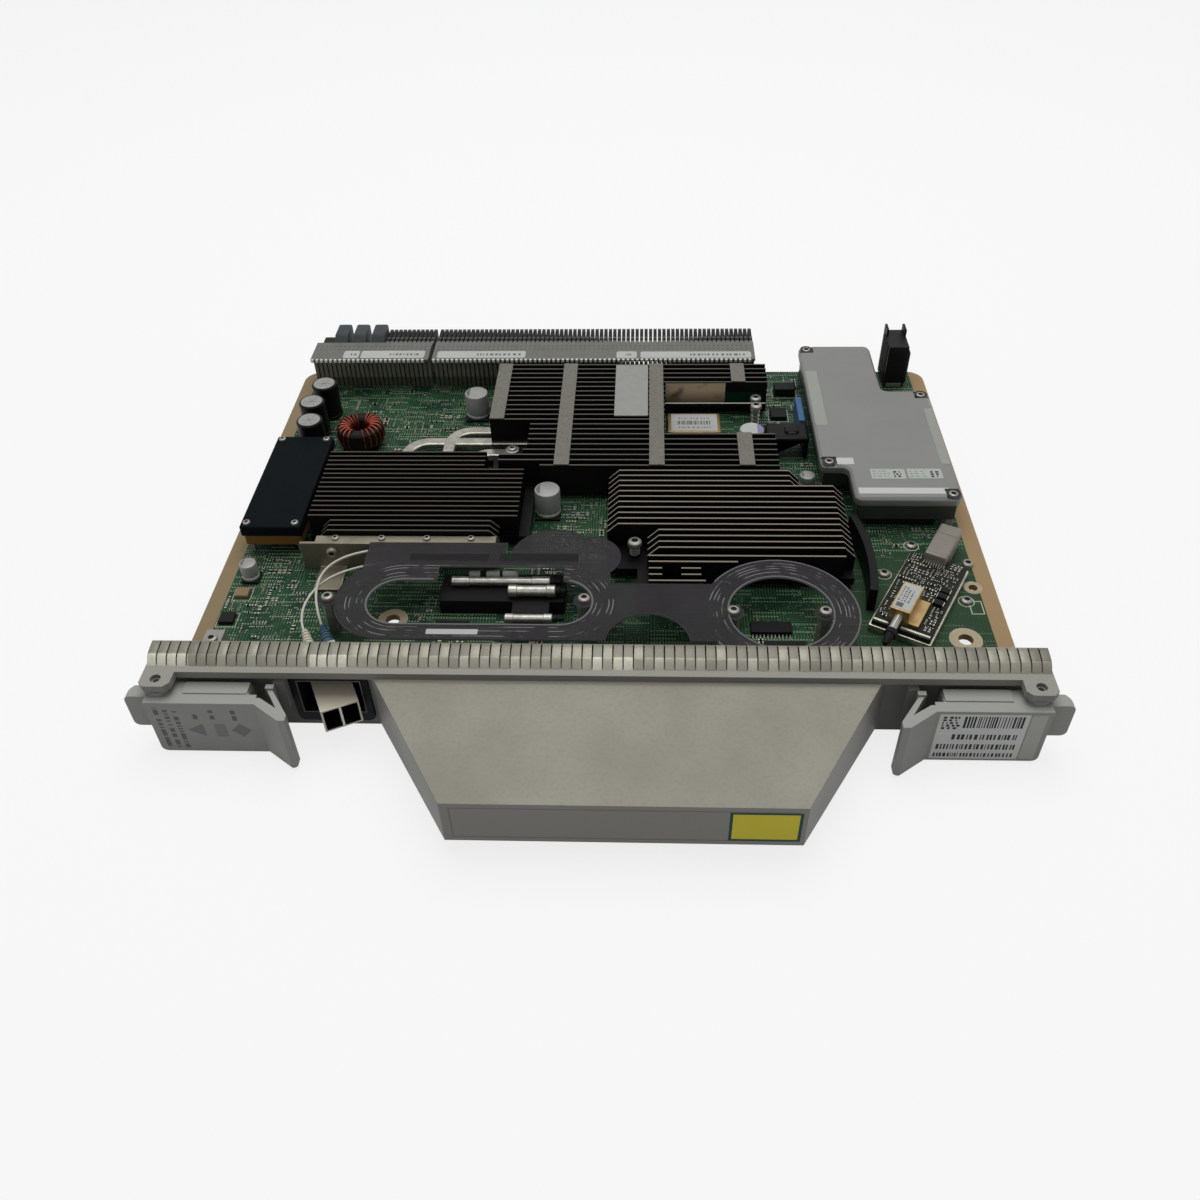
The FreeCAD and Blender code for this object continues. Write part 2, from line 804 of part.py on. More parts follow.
def make_faceplate():
    body = new_body("FaceplateBody")
    wall = d.faceplate_wall / 2
    half = d.faceplate_length / 2
    lip_bottom = d.lip_top - d.lip_thickness
    profile = new_sketch(body, "CastingProfile", "YZ_Plane", -half)
    polygon(profile, [
        (-wall, 0), (wall, 0), (wall, lip_bottom), (d.lip_rear, lip_bottom), (d.lip_rear, d.lip_top),
        (d.lip_front, d.lip_top), (d.lip_front, lip_bottom), (-wall, lip_bottom),
    ])
    pad(body, profile, "CastingRun", d.faceplate_length)

    # The jaws swing through the notched wall ends
    notches = new_sketch(body, "JawNotches", "XZ_Plane", d.faceplate_wall)
    for side in (-1, 1):
        inner = side * (half - d.jaw_notch)
        rectangle(notches, inner, side * (half + OVERRUN), d.lower_ear_thickness, lip_bottom)
    pocket(body, notches, "JawClearance", 2 * d.faceplate_wall)

    ears = new_sketch(body, "Ears", "XY_Plane", lip_bottom)
    feet = new_sketch(body, "LowerEars", "XY_Plane", 0)
    corner = (d.pivot_y - d.ear_front) / 2
    for side in (-1, 1):
        outer = side * half
        inner = side * (d.pivot_x - d.ear_inner_reach)
        polygon(ears, [
            (outer, d.lip_front), (outer, d.ear_front + corner), (outer - side * corner, d.ear_front),
            (inner + side * corner, d.ear_front), (inner, d.ear_front + corner), (inner, d.lip_front),
        ])
        reach = d.lower_ear_radius
        left_side = side * d.pivot_x - reach
        right_side = side * d.pivot_x + reach
        tip = d.pivot_y - reach
        bend = reach / 2
        polygon(feet, [
            (left_side, -wall), (left_side, tip + bend), (left_side + bend, tip),
            (right_side - bend, tip), (right_side, tip + bend), (right_side, -wall),
        ])
    pad(body, ears, "EarPads", d.lip_thickness)
    pad(body, feet, "LowerEarPads", d.lower_ear_thickness)

    # Latch catches on the wall and board lugs behind it
    catches = new_sketch(body, "Catches", "XY_Plane", d.lever_block_bottom)
    lugs = new_sketch(body, "BoardLugs", "XY_Plane", d.board_top)
    for side, lug_reach in ((-1, d.left_lug_reach), (1, d.right_lug_reach)):
        start = side * d.catch_x - d.catch_width / 2
        rectangle(catches, start, start + d.catch_width, d.lip_front, -wall)
        rectangle(lugs, side * d.lug_inner, side * d.lug_outer, wall, lug_reach)
    pad(body, catches, "CatchPads", d.lever_top - d.lever_block_bottom)
    pad(body, lugs, "LugPads", d.lug_height)

    # The hood tapers in plan and in height towards its front face, and is hollow from the rear
    def hood_rectangle(width, bottom, top):
        return (d.hood_middle - width / 2, d.hood_middle + width / 2, bottom, top)

    skin = d.hood_wall
    shell = body.newObject("PartDesign::AdditiveWedge", "HoodShell")
    bind_wedge(shell, -d.hood_reach, -wall,
               hood_rectangle(d.hood_front_width, d.hood_front_bottom, d.hood_front_top),
               hood_rectangle(d.hood_rear_width, d.hood_rear_bottom, d.hood_rear_top))
    hollow = body.newObject("PartDesign::SubtractiveWedge", "HoodHollow")
    inner_front = d.hood_front_width - 2 * skin
    inner_rear = d.hood_rear_width - 2 * skin
    bind_wedge(hollow, skin - d.hood_reach, wall,
               hood_rectangle(inner_front, d.hood_front_bottom + skin, d.hood_front_top - skin),
               hood_rectangle(inner_rear, d.hood_rear_bottom + skin, lip_bottom - skin))

    opening = new_sketch(body, "PortOpening", "XZ_Plane", d.faceplate_wall)
    margin = d.bezel_wall + d.port_fit
    opening_half = d.port_width / 2 + margin
    rectangle(opening, d.bezel_middle - opening_half, d.bezel_middle + opening_half,
              d.port_bottom - margin, d.port_top + margin)
    pocket(body, opening, "PortWindow", 2 * d.faceplate_wall)

    bores = new_sketch(body, "PinBores", "XY_Plane", d.lip_top)
    for side in (-1, 1):
        disc(bores, side * d.pivot_x, d.pivot_y, d.pin_radius + d.pin_clearance / 3)
    pocket(body, bores, "PinDrilling", d.lip_top)
    return node(body, "faceplate")


# Shielding strip of spring fingers, clipped over the rear edge of the lip

def make_finger_strip():
    body = new_body("StripBody")
    length = d.faceplate_length - 2 * d.strip_margin
    fingers = round(length.number / d.finger_pitch.number)
    pitch = length / fingers
    sheet_thickness = d.strip_thickness
    rear = d.lip_rear
    under = d.lip_top - d.lip_thickness
    crest = d.strip_top
    profile = new_sketch(body, "StripProfile", "YZ_Plane", -length / 2)
    shoulder = d.strip_front + d.strip_shoulder_run
    shoulder_top = crest - d.strip_shoulder_drop
    heel = rear - d.strip_heel_run
    heel_top = crest - d.strip_heel_drop
    outside = rear + sheet_thickness
    polygon(profile, [
        (d.strip_front, d.lip_top), (shoulder, shoulder_top), (heel, crest),
        (outside, heel_top), (outside, under - sheet_thickness), (rear / 2, under - sheet_thickness),
        (rear / 2, under), (rear, under), (rear, heel_top - sheet_thickness / 2),
        (heel - sheet_thickness / 2, crest - sheet_thickness),
        (shoulder + sheet_thickness / 2, shoulder_top - sheet_thickness),
        (d.strip_front + sheet_thickness, d.lip_top),
    ])
    pad(body, profile, "StripRun", length)
    slit = new_sketch(body, "FingerSlit", "XY_Plane", crest + OVERRUN)
    start = pitch - length / 2 - d.finger_slit / 2
    rectangle(slit, start, start + d.finger_slit, d.strip_front - OVERRUN, heel)
    first_slit = pocket(body, slit, "FirstSlit", crest + OVERRUN - d.lip_top)
    repeat(body, first_slit, "FingerSlits", "X_Axis", pitch * (fingers - 2), fingers - 1)
    return node(body, "finger_strip")


# Inserter levers: the left one is drawn, the right one is its mirror image

def make_levers():
    body = new_body("LeverBody")
    inside = d.lever_front + d.lever_skin
    height = d.lever_top - d.lever_bottom
    tip_back = d.tab_tip_y + d.tab_thickness
    plate = new_sketch(body, "LeverPlate", "XY_Plane", d.lever_bottom)
    polygon(plate, [
        (-d.lever_outer, d.lever_front), (-d.lever_inner, d.lever_front),
        (-d.tab_tip_x - d.tab_thickness, d.tab_tip_y), (-d.tab_tip_x, d.tab_tip_y),
        (-d.tab_tip_x, tip_back), (-d.lever_inner + d.lever_skin / 2, inside), (-d.lever_outer, inside),
    ])
    pad(body, plate, "LeverPlatePad", height)

    rib = new_sketch(body, "LeverRib", "XY_Plane", d.lower_ear_thickness + 2 * d.ear_clearance)
    rectangle(rib, -d.lever_outer, -d.lever_inner, inside, d.lever_rib_rear)
    pad(body, rib, "LeverRibPad", d.lever_top - d.lower_ear_thickness - 2 * d.ear_clearance)

    behind = new_sketch(body, "LeverBlock", "XY_Plane", d.lever_block_bottom)
    rectangle(behind, -d.lever_block_outer, -d.lever_block_inner, d.lever_rib_rear, d.lever_block_rear)
    pad(body, behind, "LeverBlockPad", d.lever_top - d.lever_block_bottom)

    arm = new_sketch(body, "LatchArm", "XY_Plane", d.arm_bottom)
    polygon(arm, [
        (-d.tab_tip_x - d.arm_thickness, tip_back - d.arm_thickness / 2),
        (-d.tab_tip_x, tip_back - d.tab_thickness / 2), (-d.tab_tip_x, tip_back),
        (-d.arm_end_x + d.arm_thickness, d.arm_end_y), (-d.arm_end_x, d.arm_end_y),
    ])
    pad(body, arm, "LatchArmPad", d.lever_top - d.arm_bottom)
    hook = new_sketch(body, "LatchHook", "XY_Plane", d.arm_bottom)
    rectangle(hook, -d.arm_end_x, -d.arm_end_x + 1.5 * d.arm_thickness, d.arm_end_y - d.arm_thickness / 2,
              d.arm_end_y + d.arm_thickness / 2)
    pad(body, hook, "LatchHookPad", d.lever_top + d.arm_thickness / 2 - d.arm_bottom)

    jaw = new_sketch(body, "LeverJaw", "XY_Plane", d.jaw_bottom)
    jaw_front = inside + d.ear_clearance
    chamfer = (d.jaw_rear - jaw_front) / 2
    polygon(jaw, [
        (-d.jaw_outer, jaw_front), (-d.pivot_x, jaw_front), (-d.pivot_x, d.jaw_rear),
        (-d.jaw_outer + chamfer, d.jaw_rear), (-d.jaw_outer, d.jaw_rear - chamfer),
    ])
    pad(body, jaw, "LeverJawPad", d.jaw_top - d.jaw_bottom)

    boss = new_sketch(body, "LeverBoss", "XY_Plane", d.lower_ear_thickness + d.ear_clearance)
    turns = [math.tau * (index + 0.5) / BOSS_SIDES for index in range(BOSS_SIDES)]
    polygon(boss, [
        (d.boss_radius * math.cos(turn) - d.pivot_x, d.boss_radius * math.sin(turn) + d.pivot_y)
        for turn in turns
    ])
    boss_top = d.lip_top - d.lip_thickness - d.ear_clearance
    pad(body, boss, "LeverBossPad", boss_top - d.lower_ear_thickness - d.ear_clearance)
    bore = new_sketch(body, "LeverBore", "XY_Plane", d.lip_top)
    disc(bore, -d.pivot_x, d.pivot_y, d.pin_radius + d.pin_clearance)
    pocket(body, bore, "LeverBoring", d.lip_top)
    node(body, "left_lever")

    mirror = doc.addObject("Part::Mirroring", "LeverMirror")
    mirror.Source = body
    mirror.Base = FreeCAD.Vector(0, 0, 0)
    mirror.Normal = FreeCAD.Vector(1, 0, 0)
    node(mirror, "right_lever")


def make_pivot_pins():
    bottom = d.lower_ear_thickness / 4
    height = d.lip_top - d.pin_recess - bottom
    pins = []
    for x in (-d.pivot_x, d.pivot_x):
        pins.append(ring("pivot_pin", x, d.pivot_y, bottom, d.pin_radius, d.pin_bore, height, PIN_SIDES))
    node(group("pivot_pins", pins), "pivot_pins")


# Optical port: bezel with a slanted panel, duplex adapter, plugs and boots

def adapter_blank(name):
    piece = block(name, -d.adapter_width / 2, d.adapter_width / 2, 0, d.adapter_length,
                  0, d.adapter_height)
    return turn_about_z(piece, d.adapter_x, d.adapter_y, d.adapter_bottom, d.port_turn)


def make_port():
    front = -d.faceplate_wall / 2
    left = d.bezel_middle - d.port_width / 2
    right = d.bezel_middle + d.port_width / 2
    face = front - d.bezel_flange
    flange = block("bezel_flange", d.bezel_middle - d.bezel_width / 2, d.bezel_middle + d.bezel_width / 2,
                   face, front, d.bezel_bottom, d.bezel_top)
    sleeve = block("bezel_sleeve", left - d.bezel_wall, right + d.bezel_wall, face, d.port_depth,
                   d.port_bottom - d.bezel_wall, d.port_top + d.bezel_wall)
    hollow = block("bezel_hollow", left, right, face - OVERRUN, d.port_depth + OVERRUN,
                   d.port_bottom, d.port_top)
    frame = cut("bezel_frame", fuse("bezel_outside", [flange, sleeve]), [hollow])
    panel = block("bezel_panel_sheet", -d.port_width, d.port_width, d.port_panel_back,
                  d.port_panel_back + d.port_panel, 0, d.port_top - d.port_bottom)
    turn_about_z(panel, d.adapter_x, d.adapter_y, d.port_bottom, d.port_turn)
    inside = block("bezel_inside", left, right, face, d.port_depth, d.port_bottom, d.port_top)
    trimmed = doc.addObject("Part::Common", "bezel_panel")
    trimmed.Base = panel
    trimmed.Tool = inside
    bezel = cut("port_bezel", fuse("bezel_with_panel", [frame, trimmed]), [adapter_blank("adapter_hole")])
    node(bezel, "port_bezel")

    housing = block("adapter_housing", -d.adapter_width / 2, d.adapter_width / 2, 0, d.adapter_length,
                    0, d.adapter_height)
    cavity_width = (d.adapter_width - 3 * d.adapter_wall) / 2
    cavities = []
    ferrules = []
    for side in (-1, 1):
        start = side * (cavity_width + d.adapter_wall) / 2 - cavity_width / 2
        cavities.append(block("adapter_cavity", start, start + cavity_width, -OVERRUN, d.adapter_depth,
                              d.adapter_wall, d.adapter_height - d.adapter_wall))
        ferrules.append(prism("adapter_ferrule", side * d.fibre_pitch / 2,
                              d.adapter_depth - d.ferrule_length, d.adapter_height / 2,
                              d.ferrule_radius, d.ferrule_length, TUBE_SIDES, "y"))
    shell = cut("adapter_shell", housing, cavities)
    adapter = fuse("optical_adapter", [shell] + ferrules)
    turn_about_z(adapter, d.adapter_x, d.adapter_y, d.adapter_bottom, d.port_turn)
    node(adapter, "optical_adapter")

    middle = d.adapter_height / 2
    plugs = []
    for side, label in ((-1, "white_boot"), (1, "blue_boot")):
        x = side * d.fibre_pitch / 2
        half = d.plug_size / 2
        plugs.append(block("plug_body", x - half, x + half, d.adapter_length,
                           d.adapter_length + d.plug_length, middle - half, middle + half))
        boot = taper(label + "_sleeve", x, d.adapter_length + d.plug_length, middle,
                     d.boot_radius, d.boot_tip_radius, d.boot_length)
        sleeve = group(label, [boot])
        turn_about_z(sleeve, d.adapter_x, d.adapter_y, d.adapter_bottom, d.port_turn)
        node(sleeve, label)
    pair = group("fibre_plugs", plugs)
    turn_about_z(pair, d.adapter_x, d.adapter_y, d.adapter_bottom, d.port_turn)
    node(pair, "fibre_plugs")


# Fibre pigtails: straight runs and tangent arcs from the boots to the tray

def make_fibre(label, side, route):
    """One pigtail: a run, one bend to the right of its heading, a run; the plane rises to the tray."""
    turn = math.radians(d.port_turn.number)
    sweep = math.radians(route.sweep.number)
    bend = route.bend.number
    along = d.adapter_length.number + d.plug_length.number + d.boot_length.number
    across = side * d.fibre_pitch.number / 2
    start = FreeCAD.Vector(
        d.adapter_x.number + across * math.cos(turn) - along * math.sin(turn),
        d.adapter_y.number + across * math.sin(turn) + along * math.cos(turn), 0)

    def heading(angle):
        return FreeCAD.Vector(math.cos(angle), math.sin(angle), 0)

    first = math.pi / 2 + turn
    quarter = math.pi / 2
    corner = start + heading(first) * route.straight.number
    centre = corner + heading(first - quarter) * bend
    middle = centre + heading(first + quarter - sweep / 2) * bend
    end = centre + heading(first + quarter - sweep) * bend
    finish = end + heading(first - sweep) * route.tail.number
    runs = [Part.Arc(corner, middle, end).toShape(), Part.LineSegment(end, finish).toShape()]
    if route.straight.number > 0:
        runs.insert(0, Part.LineSegment(start, corner).toShape())
    upward = FreeCAD.Vector(0, 0, d.fibre_radius.number)
    sideways = heading(first - quarter) * d.fibre_radius.number
    turns = [math.tau * index / CORD_SIDES for index in range(CORD_SIDES + 1)]
    section = Part.makePolygon(
        [start + sideways * math.cos(step) + upward * math.sin(step) for step in turns])
    solid = Part.Wire(runs).makePipeShell([section], True, True)
    solid.rotate(start, FreeCAD.Vector(1, 0, 0), route.rise.number)
    solid.translate(FreeCAD.Vector(0, 0, d.adapter_bottom.number + d.adapter_height.number / 2))
    piece = doc.addObject("Part::Feature", label)
    piece.Shape = solid
    node(piece, label)


def make_fibres():
    white, blue = layout("pigtail")
    make_fibre("white_fibre", -1, white)
    make_fibre("blue_fibre", 1, blue)


# Backplane connectors

def make_connectors():
    tooth_top = d.wafer_top - d.tooth_drop
    long_wafer = new_body("LongWafer")
    outline = new_sketch(long_wafer, "LongWaferOutline", "YZ_Plane", 0)
    polygon(outline, [
        (d.wafer_front, d.board_top), (d.wafer_rear, d.board_top), (d.wafer_rear, tooth_top),
        (d.wafer_step, tooth_top), (d.wafer_step, d.wafer_top), (d.wafer_front, d.wafer_top),
    ])
    pad(long_wafer, outline, "LongWaferPad", d.wafer_thickness)
    short_wafer = block("short_wafer", 0, d.wafer_thickness, d.wafer_front, d.stiffener_rear,
                        d.board_top, d.wafer_top)
    pitch = d.wafer_pitch.number

    def spots(first, count, start):
        return [(start + pitch * index, 0, 0) for index in range(first, count)]

    left_start = d.left_bank_x.number
    left_long = copies("left_long_wafers", long_wafer, spots(SHORT_WAFER_COUNT, LEFT_WAFER_COUNT, left_start))
    left_short = copies("left_short_wafers", short_wafer, spots(0, SHORT_WAFER_COUNT, left_start))
    node(group("left_wafers", [left_short, left_long]), "left_wafers")
    right_spots = spots(0, RIGHT_WAFER_COUNT, d.right_bank_x.number)
    node(copies("right_wafers", long_wafer, right_spots), "right_wafers")

    top = d.wafer_top + d.stiffener_thickness
    for label, start, count in (("left_stiffener", d.left_bank_x, LEFT_WAFER_COUNT),
                                ("right_stiffener", d.right_bank_x, RIGHT_WAFER_COUNT)):
        end = start + d.wafer_pitch * (count - 1) + d.wafer_thickness
        node(block(label, start, end, d.stiffener_front, d.stiffener_rear, d.wafer_top, top), label)

    key_front = d.stiffener_rear + d.key_gap
    key_body = new_body("KeyBody")
    key_sketch = new_sketch(key_body, "KeyOutline", "YZ_Plane", d.key_x)
    polygon(key_sketch, [
        (key_front, d.board_top), (d.key_rear, d.board_top), (d.key_rear, d.key_top),
        (key_front + d.key_slope, d.key_top), (key_front, d.wafer_top),
    ])
    pad(key_body, key_sketch, "KeyPad", d.key_width)
    moves = [(d.key_pitch.number * index, 0, 0) for index in range(KEY_COUNT)]
    node(copies("key_blocks", key_body, moves), "key_blocks")
    end_block = block("end_block", d.left_bank_x, d.key_x - d.key_gap, key_front, d.end_block_rear,
                      d.board_top, d.end_block_top)
    node(end_block, "end_block")


def make_guide_socket():
    right = d.guide_x + d.guide_width
    top = d.board_top + d.guide_height
    middle = d.guide_x + d.guide_width / 2
    bore_height = d.board_top + d.guide_height / 2
    post = block("guide_post", d.guide_x, right, d.guide_front, d.guide_rear, d.board_top, top)
    prong_front = d.guide_rear - 2 * d.guide_prong
    prongs = [
        block("guide_prong", start, start + d.guide_prong_thickness, prong_front, d.guide_rear,
              top, top + d.guide_prong)
        for start in (d.guide_x, right - d.guide_prong_thickness)
    ]
    bore = round_bar("guide_bore", middle, d.guide_rear - d.guide_bore_depth, bore_height,
                     d.guide_bore, d.guide_bore_depth + OVERRUN, "y")
    node(cut("guide_socket", fuse("guide_outside", [post] + prongs), [bore]), "guide_socket")


# Shielded module at the right

def module_outline(inset):
    return [
        (d.module_left + inset, d.module_step_y + inset), (d.module_step_x + inset, d.module_step_y + inset),
        (d.module_step_x + inset, d.module_front + inset), (d.module_right - inset, d.module_front + inset),
        (d.module_right - inset, d.module_notch_y - inset),
        (d.module_notch_x - inset, d.module_notch_y - inset),
        (d.module_notch_x - inset, d.module_rear - inset), (d.module_left + inset, d.module_rear - inset),
    ]


def module_lugs():
    return [
        (d.module_left + d.lug_radius, d.module_step_y + d.lug_radius),
        (d.module_right - d.lug_radius, d.module_front + d.lug_radius),
        (d.module_left + d.lug_radius, d.module_rear - d.lug_radius),
        (d.module_right - d.lug_radius, d.module_notch_y - d.lug_radius),
    ]


def make_module():
    cover_bottom = d.module_top - d.cover_height
    base_bottom = cover_bottom - d.base_height
    body = new_body("CoverBody")
    outline = new_sketch(body, "CoverOutline", "XY_Plane", cover_bottom)
    corners = module_outline(as_size(0))
    polygon(outline, corners)
    cover_pad = pad(body, outline, "CoverPad", d.cover_height)
    rounded = round_corners(body, cover_pad, "CoverCorners", corners, d.cover_corner)
    doc.recompute()
    bevel = body.newObject("PartDesign::Chamfer", "CoverBevel")
    bevel.Base = (rounded, [top_face(rounded.Shape)])
    bind(bevel, "Size", d.cover_bevel)
    recesses = new_sketch(body, "LugRecesses", "XY_Plane", d.module_top)
    half = d.lug_radius - d.lug_rim
    for x, y in module_lugs():
        rectangle(recesses, x - half, x + half, y - half, y + half)
    pocket(body, recesses, "LugSinking", d.lug_recess)
    node(body, "module_cover")

    base = new_body("ModuleBaseBody")
    base_sketch = new_sketch(base, "ModuleBaseOutline", "XY_Plane", base_bottom)
    polygon(base_sketch, module_outline(d.base_inset))
    pad(base, base_sketch, "ModuleBasePad", d.base_height)
    node(base, "module_base")


# Power brick at the left edge

def make_brick():
    right = d.brick_x + d.brick_width
    rear = d.brick_y + d.brick_depth
    cover_bottom = d.brick_top - d.brick_cover_height
    board_bottom = cover_bottom - d.brick_board_height
    inset = d.brick_inset
    node(block("brick_cover", d.brick_x, right, d.brick_y, rear, cover_bottom, d.brick_top), "brick_cover")
    node(block("brick_board", d.brick_x + inset, right - inset, d.brick_y + inset, rear - inset,
               board_bottom, cover_bottom), "brick_board")
    half = d.brick_pin_side / 2
    pins = []
    for x, y in brick_corners():
        pins.append(block("brick_pin", x - half, x + half, y - half, y + half, d.board_top, board_bottom))
    node(group("brick_pins", pins), "brick_pins")


def brick_corners():
    inset = d.brick_pin_inset
    right = d.brick_x + d.brick_width
    rear = d.brick_y + d.brick_depth
    return [(x, y) for x in (d.brick_x + inset, right - inset) for y in (d.brick_y + inset, rear - inset)]


# Capacitors and the choke

def make_capacitors():
    bulk = []
    for spot in layout("bulk_can"):
        height = d.bulk_top - d.board_top
        bulk.append(prism("bulk_can", spot.x, spot.y, d.board_top, d.bulk_radius, height, CAN_SIDES))
    node(group("bulk_capacitors", bulk), "bulk_capacitors")
    cans = []
    feet = []
    foot_top = d.board_top + d.can_base
    for can in layout("chip_can") + layout("left_can") + layout("right_can"):
        feet.append(block("can_foot", can.x - can.radius, can.x + can.radius, can.y - can.radius,
                          can.y + can.radius, d.board_top, foot_top))
        cans.append(prism("can", can.x, can.y, foot_top, can.radius, can.height - d.can_base, CAN_SIDES))
    node(group("chip_capacitors", cans), "chip_capacitors")
    node(group("capacitor_bases", feet), "capacitor_bases")


def make_choke():
    bottom = d.board_top + d.can_base
    cover = d.winding_cover
    half = d.choke_foot / 2
    node(block("choke_base", d.choke_x - half, d.choke_x + half, d.choke_y - half, d.choke_y + half,
               d.board_top, bottom), "choke_base")
    core = ring("choke_core", d.choke_x, d.choke_y, bottom + cover, d.choke_outer, d.choke_inner,
                d.choke_height, CAN_SIDES)
    node(core, "choke_core")
    wound_height = d.choke_height + 2 * cover
    wound = ring("winding_ring", d.choke_x, d.choke_y, bottom, d.choke_outer + cover, d.choke_inner - cover,
                 wound_height, CAN_SIDES)
    gap_half = d.winding_gap / 2
    gap = block("winding_gap", d.choke_x - gap_half, d.choke_x + gap_half, d.choke_y - 2 * d.choke_outer,
                d.choke_y + 2 * d.choke_outer, bottom, bottom + wound_height)
    node(cut("choke_winding", wound, [core, gap]), "choke_winding")


# Heatsinks: a base plate and rows of fins, some with sloping ends

def sink_levels():
    bottom = d.board_top + d.chip_height
    return bottom, bottom + d.sink_base


def sink_body(name, corners, fins, pitch, top):
    """A base plate with its corners and rows of upright fins taken from the layout."""
    bottom = sink_levels()[0]
    body = new_body(name + "Body")
    base = new_sketch(body, name + "Base", "XY_Plane", bottom)
    polygon(base, [(corner.x, corner.y) for corner in layout(corners)])
    pad(body, base, name + "BasePad", d.sink_base)
    for index, row in enumerate(layout(fins)):
        add_fins(body, "%sFins%d" % (name, index), row, pitch, bottom, top)
    return body


def add_fins(body, name, row, pitch, bottom, top):
    sketch = new_sketch(body, name + "Outline", "XZ_Plane", -(row.front + d.fin_thickness))
    crest = top - row.drop
    outline = [(row.left - row.slope, bottom), (row.right + row.slope, bottom),
               (row.right, crest), (row.left, crest)]
    if row.slope.number > 0:
        outline.insert(2, (row.right + row.slope, crest - row.slope))
        outline.append((row.left - row.slope, crest - row.slope))
    polygon(sketch, outline)
    fin_pad = pad(body, sketch, name + "Pad", d.fin_thickness)
    count = int(row.count.number)
    if count > 1:
        repeat(body, fin_pad, name + "Rows", "Y_Axis", pitch * (count - 1), count)


def add_rail(body, base_top):
    """The upright rail along the front of the left heatsink, where the bracket is screwed on."""
    rail = new_sketch(body, "LeftSinkRail", "XY_Plane", base_top)
    rectangle(rail, d.rail_left, d.rail_right, d.bracket_front + d.bracket_sheet, d.rail_rear)
    pad(body, rail, "LeftSinkRailPad", d.bracket_top - d.bracket_sheet - base_top)


def add_window_bar(body, base_top):
    """The thin bar that bridges the window of the rear heatsink."""
    bar = new_sketch(body, "WindowBar", "XZ_Plane", -d.window_bar_rear)
    rectangle(bar, d.window_bar_left, d.window_bar_right, base_top, d.window_bar_top)
    pad(body, bar, "WindowBarPad", d.fin_thickness)


# Heat pipes let flush into the bases of the left and rear heatsinks

def pipe_route(name, run, lift):
    bend = d.pipe_bend.number
    x, front, row, end = run.x.number, run.front.number, run.row.number, run.end.number
    corner = FreeCAD.Vector(x, row - bend, 0)
    diagonal = bend * (1 - math.sqrt(0.5))
    middle = FreeCAD.Vector(x + diagonal, row - diagonal, 0)
    after = FreeCAD.Vector(x + bend, row, 0)
    route = Part.Wire([
        Part.LineSegment(FreeCAD.Vector(x, front, 0), corner).toShape(),
        Part.Arc(corner, middle, after).toShape(),
        Part.LineSegment(after, FreeCAD.Vector(end, row, 0)).toShape(),
    ])
    half_width = d.pipe_width.number / 2
    height = d.pipe_height.number
    points = [FreeCAD.Vector(x + side * half_width, front, level * height)
              for side, level in ((-1, 0), (1, 0), (1, 1), (-1, 1), (-1, 0))]
    solid = route.makePipeShell([Part.makePolygon(points)], True, True)
    solid.translate(FreeCAD.Vector(0, 0, lift))
    piece = doc.addObject("Part::Feature", name)
    piece.Shape = solid
    return piece


def make_heatsinks():
    bottom, base_top = sink_levels()
    left = sink_body("LeftSink", "left_base", "left_fin", d.left_fin_pitch, d.left_sink_top)
    add_rail(left, base_top)
    rear = sink_body("RearSink", "rear_base", "rear_fin", d.rear_fin_pitch, d.rear_sink_top)
    add_window_bar(rear, base_top)
    front = sink_body("FrontSink", "front_base", "front_fin", d.front_fin_pitch, d.front_sink_top)
    lift = base_top.number - d.pipe_height.number
    pipes = [pipe_route("heat_pipe", run, lift) for run in layout("heat_pipe")]
    node(cut("left_heatsink", left, pipes), "left_heatsink")
    node(cut("rear_heatsink", rear, pipes), "rear_heatsink")
    node(front, "front_heatsink")
    node(group("heat_pipes", pipes), "heat_pipes")

    # Bands of interlocking fin tabs and a plain plate on top of the rear heatsink
    top = d.rear_sink_top
    bands = []
    for band in layout("fin_band"):
        bands.append(block("fin_band", band.left, band.left + d.band_width, band.front, band.rear,
                           top, top + d.band_height))
    node(group("fin_bands", bands), "fin_bands")
    node(block("sink_plate", d.plate_left, d.plate_left + d.plate_width, d.plate_front,
               d.plate_front + d.plate_depth, top, top + d.band_height), "sink_plate")

    chips = []
    for chip in layout("cooled_chip"):
        half = chip.side / 2
        chips.append(block("cooled_chip", chip.x - half, chip.x + half, chip.y - half, chip.y + half,
                           d.board_top, bottom))
    node(group("cooled_chips", chips), "cooled_chips")


def make_sink_screws():
    base_top = sink_levels()[1]
    x, y = d.spring_screw_x, d.spring_screw_y
    washer = prism("washer_screw", d.washer_screw_x, d.washer_screw_y, base_top,
                   d.washer_radius, d.screw_head_height, TUBE_SIDES)
    shank = prism("spring_shank", x, y, base_top, d.spring_bore - d.spring_gap, d.spring_height, TUBE_SIDES)
    head = prism("spring_head", x, y, base_top + d.spring_height, d.spring_head_radius,
                 d.spring_head_height, TUBE_SIDES)
    node(group("sink_screws", [washer, fuse("spring_screw", [shank, head])]), "sink_screws")
    coil = ring("sink_spring", x, y, base_top, d.spring_radius, d.spring_bore, d.spring_height, TUBE_SIDES)
    node(coil, "sink_spring")


# Fibre tray: one sheet with a slot, a ring and tabs for its screws

